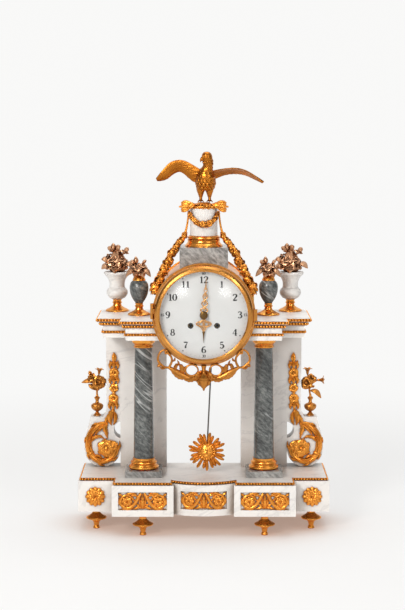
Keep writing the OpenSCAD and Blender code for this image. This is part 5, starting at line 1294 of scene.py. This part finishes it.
def hand_leaf(points, n, width):
    """A small leaf in the plane of a hand."""
    return leaf(smooth(points, n), outline(n, width), arch=0.2, thick=0.3, points=5)


def point(root, top, wide):
    """The pointed end of a hand: a small leaf that runs out to a needle."""
    line = smooth([(0, root, 0), (0, root + (top - root) * 0.3, 0), (0, top, 0)], 22)
    shares = np.interp(np.linspace(0, 1, 22), [0, 0.14, 0.32, 0.5, 1], [0.6, 1.3, 0.8, 0.6, 0.12])
    return leaf(line, wide * shares, arch=0.1, thick=0.4, points=5, rib=0.1)


def boss(r):
    """A low dome in the middle of a hand."""
    return turned([(0.3, -0.4), (r, -0.4), (r, 0.3), (0.85 * r, 0.8), (0.5 * r, 1.2), (0.3, 1.3)], 36)


def minute_shape():
    """Long pierced hand: two strands that cross in three shrinking eyes, a ring and a pointed end."""
    u = np.linspace(0, 1, 80)
    turn = 3 * pi * u**0.9 + 0.25
    parts = [boss(5.2), point(39.6, 57, 1.7), loop(0, 38.2, 2.1, 0.6)]
    for s in (-1, 1):
        swing = s * 5.6 * (1 - 0.55 * u) * np.sin(turn)
        strand = np.stack([swing, 4 + 32 * u, 0.25 * s * np.cos(turn)], -1)
        parts.append(rod(strand, np.linspace(1.1, 0.8, 80), flat=0.6, sides=8))
        for low, reach in ((14.6, 4.4), (25.4, 3.4)):
            curl = [(0, low - 1, 0), (s * 0.6 * reach, low, 0.2), (s * reach, low + 2.6, 0)]
            parts.append(hand_leaf(curl, 9, 1.0))
    for low in (6.6, 17.4, 27.6):
        parts.append(hand_leaf([(0, low, 0), (0, low + 3, 0.2), (0, low + 6.2, 0)], 9, 1.2))
    return join(*parts)


def hour_shape():
    """Short pierced hand: a kite of scrolls with eyes inside it, then a pointed end."""
    side = [(0, 5, 0), (4.4, 9.4, 0), (8.4, 10.6, 0), (11.8, 13.6, 0), (9.4, 16.6, 0), (5.4, 18.6, 0),
            (2.4, 22.6, 0), (0, 26, 0)]
    edge = smooth(side, 40)
    parts = [boss(5.2), rod([(0, 2, 0), (0, 14, 0), (0, 28, 0)], [1.2, 1.0, 0.9], flat=0.5, sides=8)]
    half = [rod(edge, 0.7, flat=0.6, sides=8), loop(4.0, 14.2, 2.7, 0.5), loop(8.8, 13.6, 1.6, 0.45),
            loop(2.0, 20, 1.4, 0.45)]
    half.append(hand_leaf([(0.6, 8, 0), (4, 10.6, 0.3), (8.6, 12, 0)], 10, 1.3))
    half.append(hand_leaf([(0.6, 18, 0), (5, 17.2, 0.3), (9.4, 15.4, 0)], 10, 1.2))
    return join(*parts, both(join(*half)))


def set_hand(shape, degrees, y):
    """Turns a hand clockwise from twelve and puts it in its plane."""
    a = np.radians(-degrees)
    return moved(moved(shape, turn=about_z(a)[0]), (0, y, DIAL_Z), FRONT)


# Where the hands stand, in degrees from twelve, and the planes they turn in
MINUTE_HAND_AT = 4.0
HOUR_HAND_AT = 180.5
MINUTE_HAND_Y = -88.0
HOUR_HAND_Y = -85.2
hand = set_hand(minute_shape(), MINUTE_HAND_AT, MINUTE_HAND_Y)
piece("pierced_minute_hand", hand, PALE_GILT, ["minute_hand"], "centre_arbor")
hand = set_hand(hour_shape(), HOUR_HAND_AT, HOUR_HAND_Y)
piece("pierced_hour_hand", hand, PALE_GILT, ["hour_hand"], "hour_pipe")
needle = set_hand(point(25, 43, 1.9), HOUR_HAND_AT, HOUR_HAND_Y)
piece("hour_hand_point", needle, BROWNED, ["hour_hand"], "hour_pipe")
cap = turned([(0.3, 0.6), (5.9, 0.6), (6.3, 0.9), (6.1, 1.4), (4.4, 2.0), (2.2, 2.3), (2.0, 2.9),
              (0.3, 3.1)], 36)
piece("hand_cap", set_hand(cap, 0.0, MINUTE_HAND_Y), BROWNED, ["minute_hand"], "centre_arbor")


# Sunburst bob
def calm_face(rho, t):
    """Height of a plain mask in even thirds: brow line, nose to the lower third, and closed lips."""
    x = rho * np.cos(t)
    y = rho * np.sin(t)

    def mound(cx, cy, sx, sy, h):
        """A soft hill of height h about a place."""
        return h * np.exp(-((x - cx) / sx)**2 - ((y - cy) / sy)**2)

    h = 4.2 * np.sqrt(np.clip(1 - 0.9 * rho**2, 0, 1))
    h = h + mound(0, 0.02, 0.1, 0.3, 1.1) + mound(0, -0.2, 0.17, 0.1, 0.7)
    for s in (-1, 1):
        h = h - mound(s * 0.33, 0.18, 0.2, 0.13, 1.3) + mound(s * 0.33, 0.17, 0.12, 0.07, 0.8)
        h = h + mound(s * 0.34, 0.36, 0.24, 0.06, 0.6) + mound(s * 0.45, -0.22, 0.2, 0.2, 0.5)
    h = h + mound(0, -0.43, 0.2, 0.04, 0.6) + mound(0, -0.53, 0.17, 0.05, 0.6)
    h = h - mound(0, -0.48, 0.22, 0.02, 0.5)
    return h + mound(0, -0.74, 0.2, 0.12, 0.7)


def sunburst():
    """Bob from the front: groups of ridged rays with gaps between, a ring of short flames and a mask."""
    v = np.linspace(0, 1, 8)
    parts = [turned([(0.4, -1), (12.4, -1), (13, 0), (13, 1.2), (0.4, 1.4)], 48)]
    groups = (3, 1, 2, 3, 1, 2, 3, 2, 1, 3, 2)
    step = 12
    gap = (360 - step * sum(groups)) / len(groups)
    angle = 0.0
    for k, count in enumerate(groups):
        for ray in range(count):
            a = np.radians(angle + step * ray + 100)
            tall = 28.8 + 2.2 * np.sin(3.7 * k + 2.2 * ray)
            path = np.outer(9 + (tall - 9) * v, [np.cos(a), np.sin(a), 0]) + [0, 0, 1.4]
            path = path + np.outer(np.sin(pi * v), [0, 0, 0.8])
            width = np.interp(v, [0, 0.6, 0.92, 1], [1.7, 2.7, 2.4, 1.2])
            parts.append(leaf(path, width, arch=0.5, thick=0.4, points=7, rib=0.2))
        angle += step * count + gap
    line = smooth([(8.6, 0, 2.6), (11.4, 0.7, 4.0), (14, 0, 3.4), (16.6, -0.6, 2.6)], 8)
    flame = leaf(line, outline(8, 2.4), arch=0.4, thick=0.4, points=5)
    parts.append(copies(flame, np.zeros((19, 3)), about_z(full_circle(19))))
    parts.append(moved(medallion(12.6, calm_face, 48, 104, 1.2), (0, 0, 1.4), None, (0.8, 0.95, 1)))
    return join(*parts)


# Middle of the bob where it hangs at rest
BOB_AT = (5.1, -3.4, 120.8)
bob = moved(sunburst(), BOB_AT, FRONT)
piece("sunburst_bob", bob, GILT, ["pendulum_bob"], "pendulum")


# Floor, surround, light and camera
def studio_floor():
    """Pale flat floor: a square grid of points at the height of the table."""
    n = 25
    half = 12
    line = np.linspace(-half, half, n)
    x, y = np.meshgrid(line, line, indexing="ij")
    i, k = np.meshgrid(np.arange(n - 1), np.arange(n - 1), indexing="ij")
    faces = np.stack([i * n + k, (i + 1) * n + k, (i + 1) * n + k + 1, i * n + k + 1], -1).reshape(-1, 4)
    mesh = bpy.data.meshes.new("studio_floor")
    mesh.from_pydata(np.stack([x, y, 0 * x], -1).reshape(-1, 3).tolist(), [], faces.tolist())
    made = bpy.data.objects.new("studio_floor", mesh)
    bpy.context.scene.collection.objects.link(made)
    return made


def combined(tree, operation, a, b):
    """Two number sockets worked out together, such as their product or the greater of them."""
    made = node(tree, "ShaderNodeMath", operation=operation)
    tree.links.new(a, made.inputs[0])
    tree.links.new(b, made.inputs[1])
    return made.outputs[0]


def show_mixed(tree, factor, first, second, output):
    """Leads two shaders, mixed by a factor, to an output node."""
    mix = tree.nodes.new("ShaderNodeMixShader")
    tree.links.new(factor, mix.inputs[0])
    tree.links.new(first.outputs[0], mix.inputs[1])
    tree.links.new(second.outputs[0], mix.inputs[2])
    tree.links.new(mix.outputs[0], tree.nodes[output].inputs["Surface"])


PLAIN_WHITE = (0.945, 0.943, 0.935)


def floor_finish():
    """Pale paper: matt, with a brownish shadow painted under the object, and plain white for the eye
    further off.
    """
    made, tree, shader, coords = start_finish("floor_paper_finish")
    tone = ramp(tree, noise(tree, coords, 3.0), [(0.3, (0.86, 0.86, 0.855)), (0.7, (0.88, 0.88, 0.875))])
    # Painted shadow: occlusion under the object tints the paper and also darkens the white glow the eye
    # sees
    under = node(tree, "ShaderNodeAmbientOcclusion", Distance=0.16, samples=8)
    painted_shadow_tint = ramp(tree, under.outputs["AO"], [(0.3, (0.98, 0.82, 0.73)), (0.95, (1, 1, 1))])
    tree.links.new(blend_colours(tree, "MULTIPLY", 1.0, tone, painted_shadow_tint), shader.inputs["Base Color"])
    shader.inputs["Roughness"].default_value = 0.9
    shader.inputs["Specular IOR Level"].default_value = 0.1
    glow = tree.nodes.new("ShaderNodeEmission")
    painted_shadow_glow = ramp(tree, under.outputs["AO"], [(0.25, (0.66, 0.47, 0.38)), (0.85, PLAIN_WHITE)])
    tree.links.new(painted_shadow_glow, glow.inputs["Color"])
    length = node(tree, "ShaderNodeVectorMath", operation="LENGTH")
    tree.links.new(coords, length.inputs[0])
    far = node(tree, "ShaderNodeMapRange", interpolation_type="SMOOTHSTEP")
    far.inputs["From Min"].default_value = 0.25
    far.inputs["From Max"].default_value = 1.5
    far.inputs["To Min"].default_value = 0.55
    tree.links.new(length.outputs["Value"], far.inputs["Value"])
    ray = tree.nodes.new("ShaderNodeLightPath").outputs
    seen = combined(tree, "MAXIMUM", ray["Is Camera Ray"], ray["Is Glossy Ray"])
    seen = combined(tree, "MAXIMUM", seen, ray["Is Transmission Ray"])
    share = combined(tree, "MULTIPLY", far.outputs["Result"], seen)
    show_mixed(tree, share, shader, glow, "Material Output")
    return made


def studio_world():
    """A dim room, lighter above and behind; the eye sees plain white, and so does metal looking back."""
    made = bpy.data.worlds.new("studio")
    made.use_nodes = True
    sky = made.node_tree
    way = sky.nodes.new("ShaderNodeSeparateXYZ")
    sky.links.new(sky.nodes.new("ShaderNodeTexCoord").outputs["Generated"], way.inputs["Vector"])
    shades = [(0.0, (0.3, 0.275, 0.255)), (0.35, (0.5, 0.475, 0.455)), (0.9, (1.0, 0.98, 0.96))]
    room = ramp(sky, way.outputs["Z"], shades)
    behind = ramp(sky, way.outputs["Y"], [(0.1, (0, 0, 0)), (0.5, (1, 1, 1))])
    room = blend_colours(sky, "MIX", behind, room, (0.62, 0.61, 0.6, 1))
    dim = sky.nodes["Background"]
    dim.inputs["Strength"].default_value = 0.42
    sky.links.new(room, dim.inputs["Color"])
    white = sky.nodes.new("ShaderNodeBackground")
    white.inputs["Color"].default_value = (*PLAIN_WHITE, 1)
    ray = sky.nodes.new("ShaderNodeLightPath").outputs
    seen = combined(sky, "MULTIPLY", ray["Is Glossy Ray"], behind)
    seen = combined(sky, "MAXIMUM", seen, ray["Is Camera Ray"])
    seen = combined(sky, "MAXIMUM", seen, ray["Is Transmission Ray"])
    show_mixed(sky, seen, dim, white, "World Output")
    return made


floor = studio_floor()
floor.data.materials.append(floor_finish())
bpy.context.scene.world = studio_world()


def soft_box(name, place, target, size, power, tint=(1, 1, 1)):
    """A square studio lamp at a place, turned to its target."""
    data = bpy.data.lights.new(name, "AREA")
    data.shape = "SQUARE"
    data.size = size
    data.energy = power
    data.color = tint
    lamp = bpy.data.objects.new(name, data)
    lamp.location = place
    z = unit(np.array(place) - np.array(target))
    x = unit(np.cross([0, 0, 1.0], z))
    y = np.cross(z, x)
    lamp.rotation_euler = Matrix(np.stack([x, y, z], -1).tolist()).to_euler()
    bpy.context.scene.collection.objects.link(lamp)


soft_box("left_lamp", (-1.15, -2.3, 1.5), (0, 0, 0.3), 0.7, 40, (1.0, 0.985, 0.96))
soft_box("right_lamp", (1.6, -2.0, 1.5), (0, 0, 0.3), 1.2, 11)
soft_box("top_lamp", (0.1, 0.3, 2.5), (0, 0, 0.2), 1.6, 30)
soft_box("left_catch_lamp", (-0.7, -2.6, 0.85), (0, 0, 0.35), 0.35, 5)
soft_box("right_catch_lamp", (0.7, -2.6, 0.85), (0, 0, 0.35), 0.35, 5)

camera_data = bpy.data.cameras.new("camera")
camera_data.lens = 99.03
camera_data.sensor_width = 36.0
camera = bpy.data.objects.new("camera", camera_data)
camera.location = (-0.002, -2.643, 0.657)
camera.rotation_euler = (np.radians(83.5), 0, 0)
bpy.context.scene.collection.objects.link(camera)
bpy.context.scene.camera = camera
bpy.context.scene.view_settings.view_transform = "Standard"
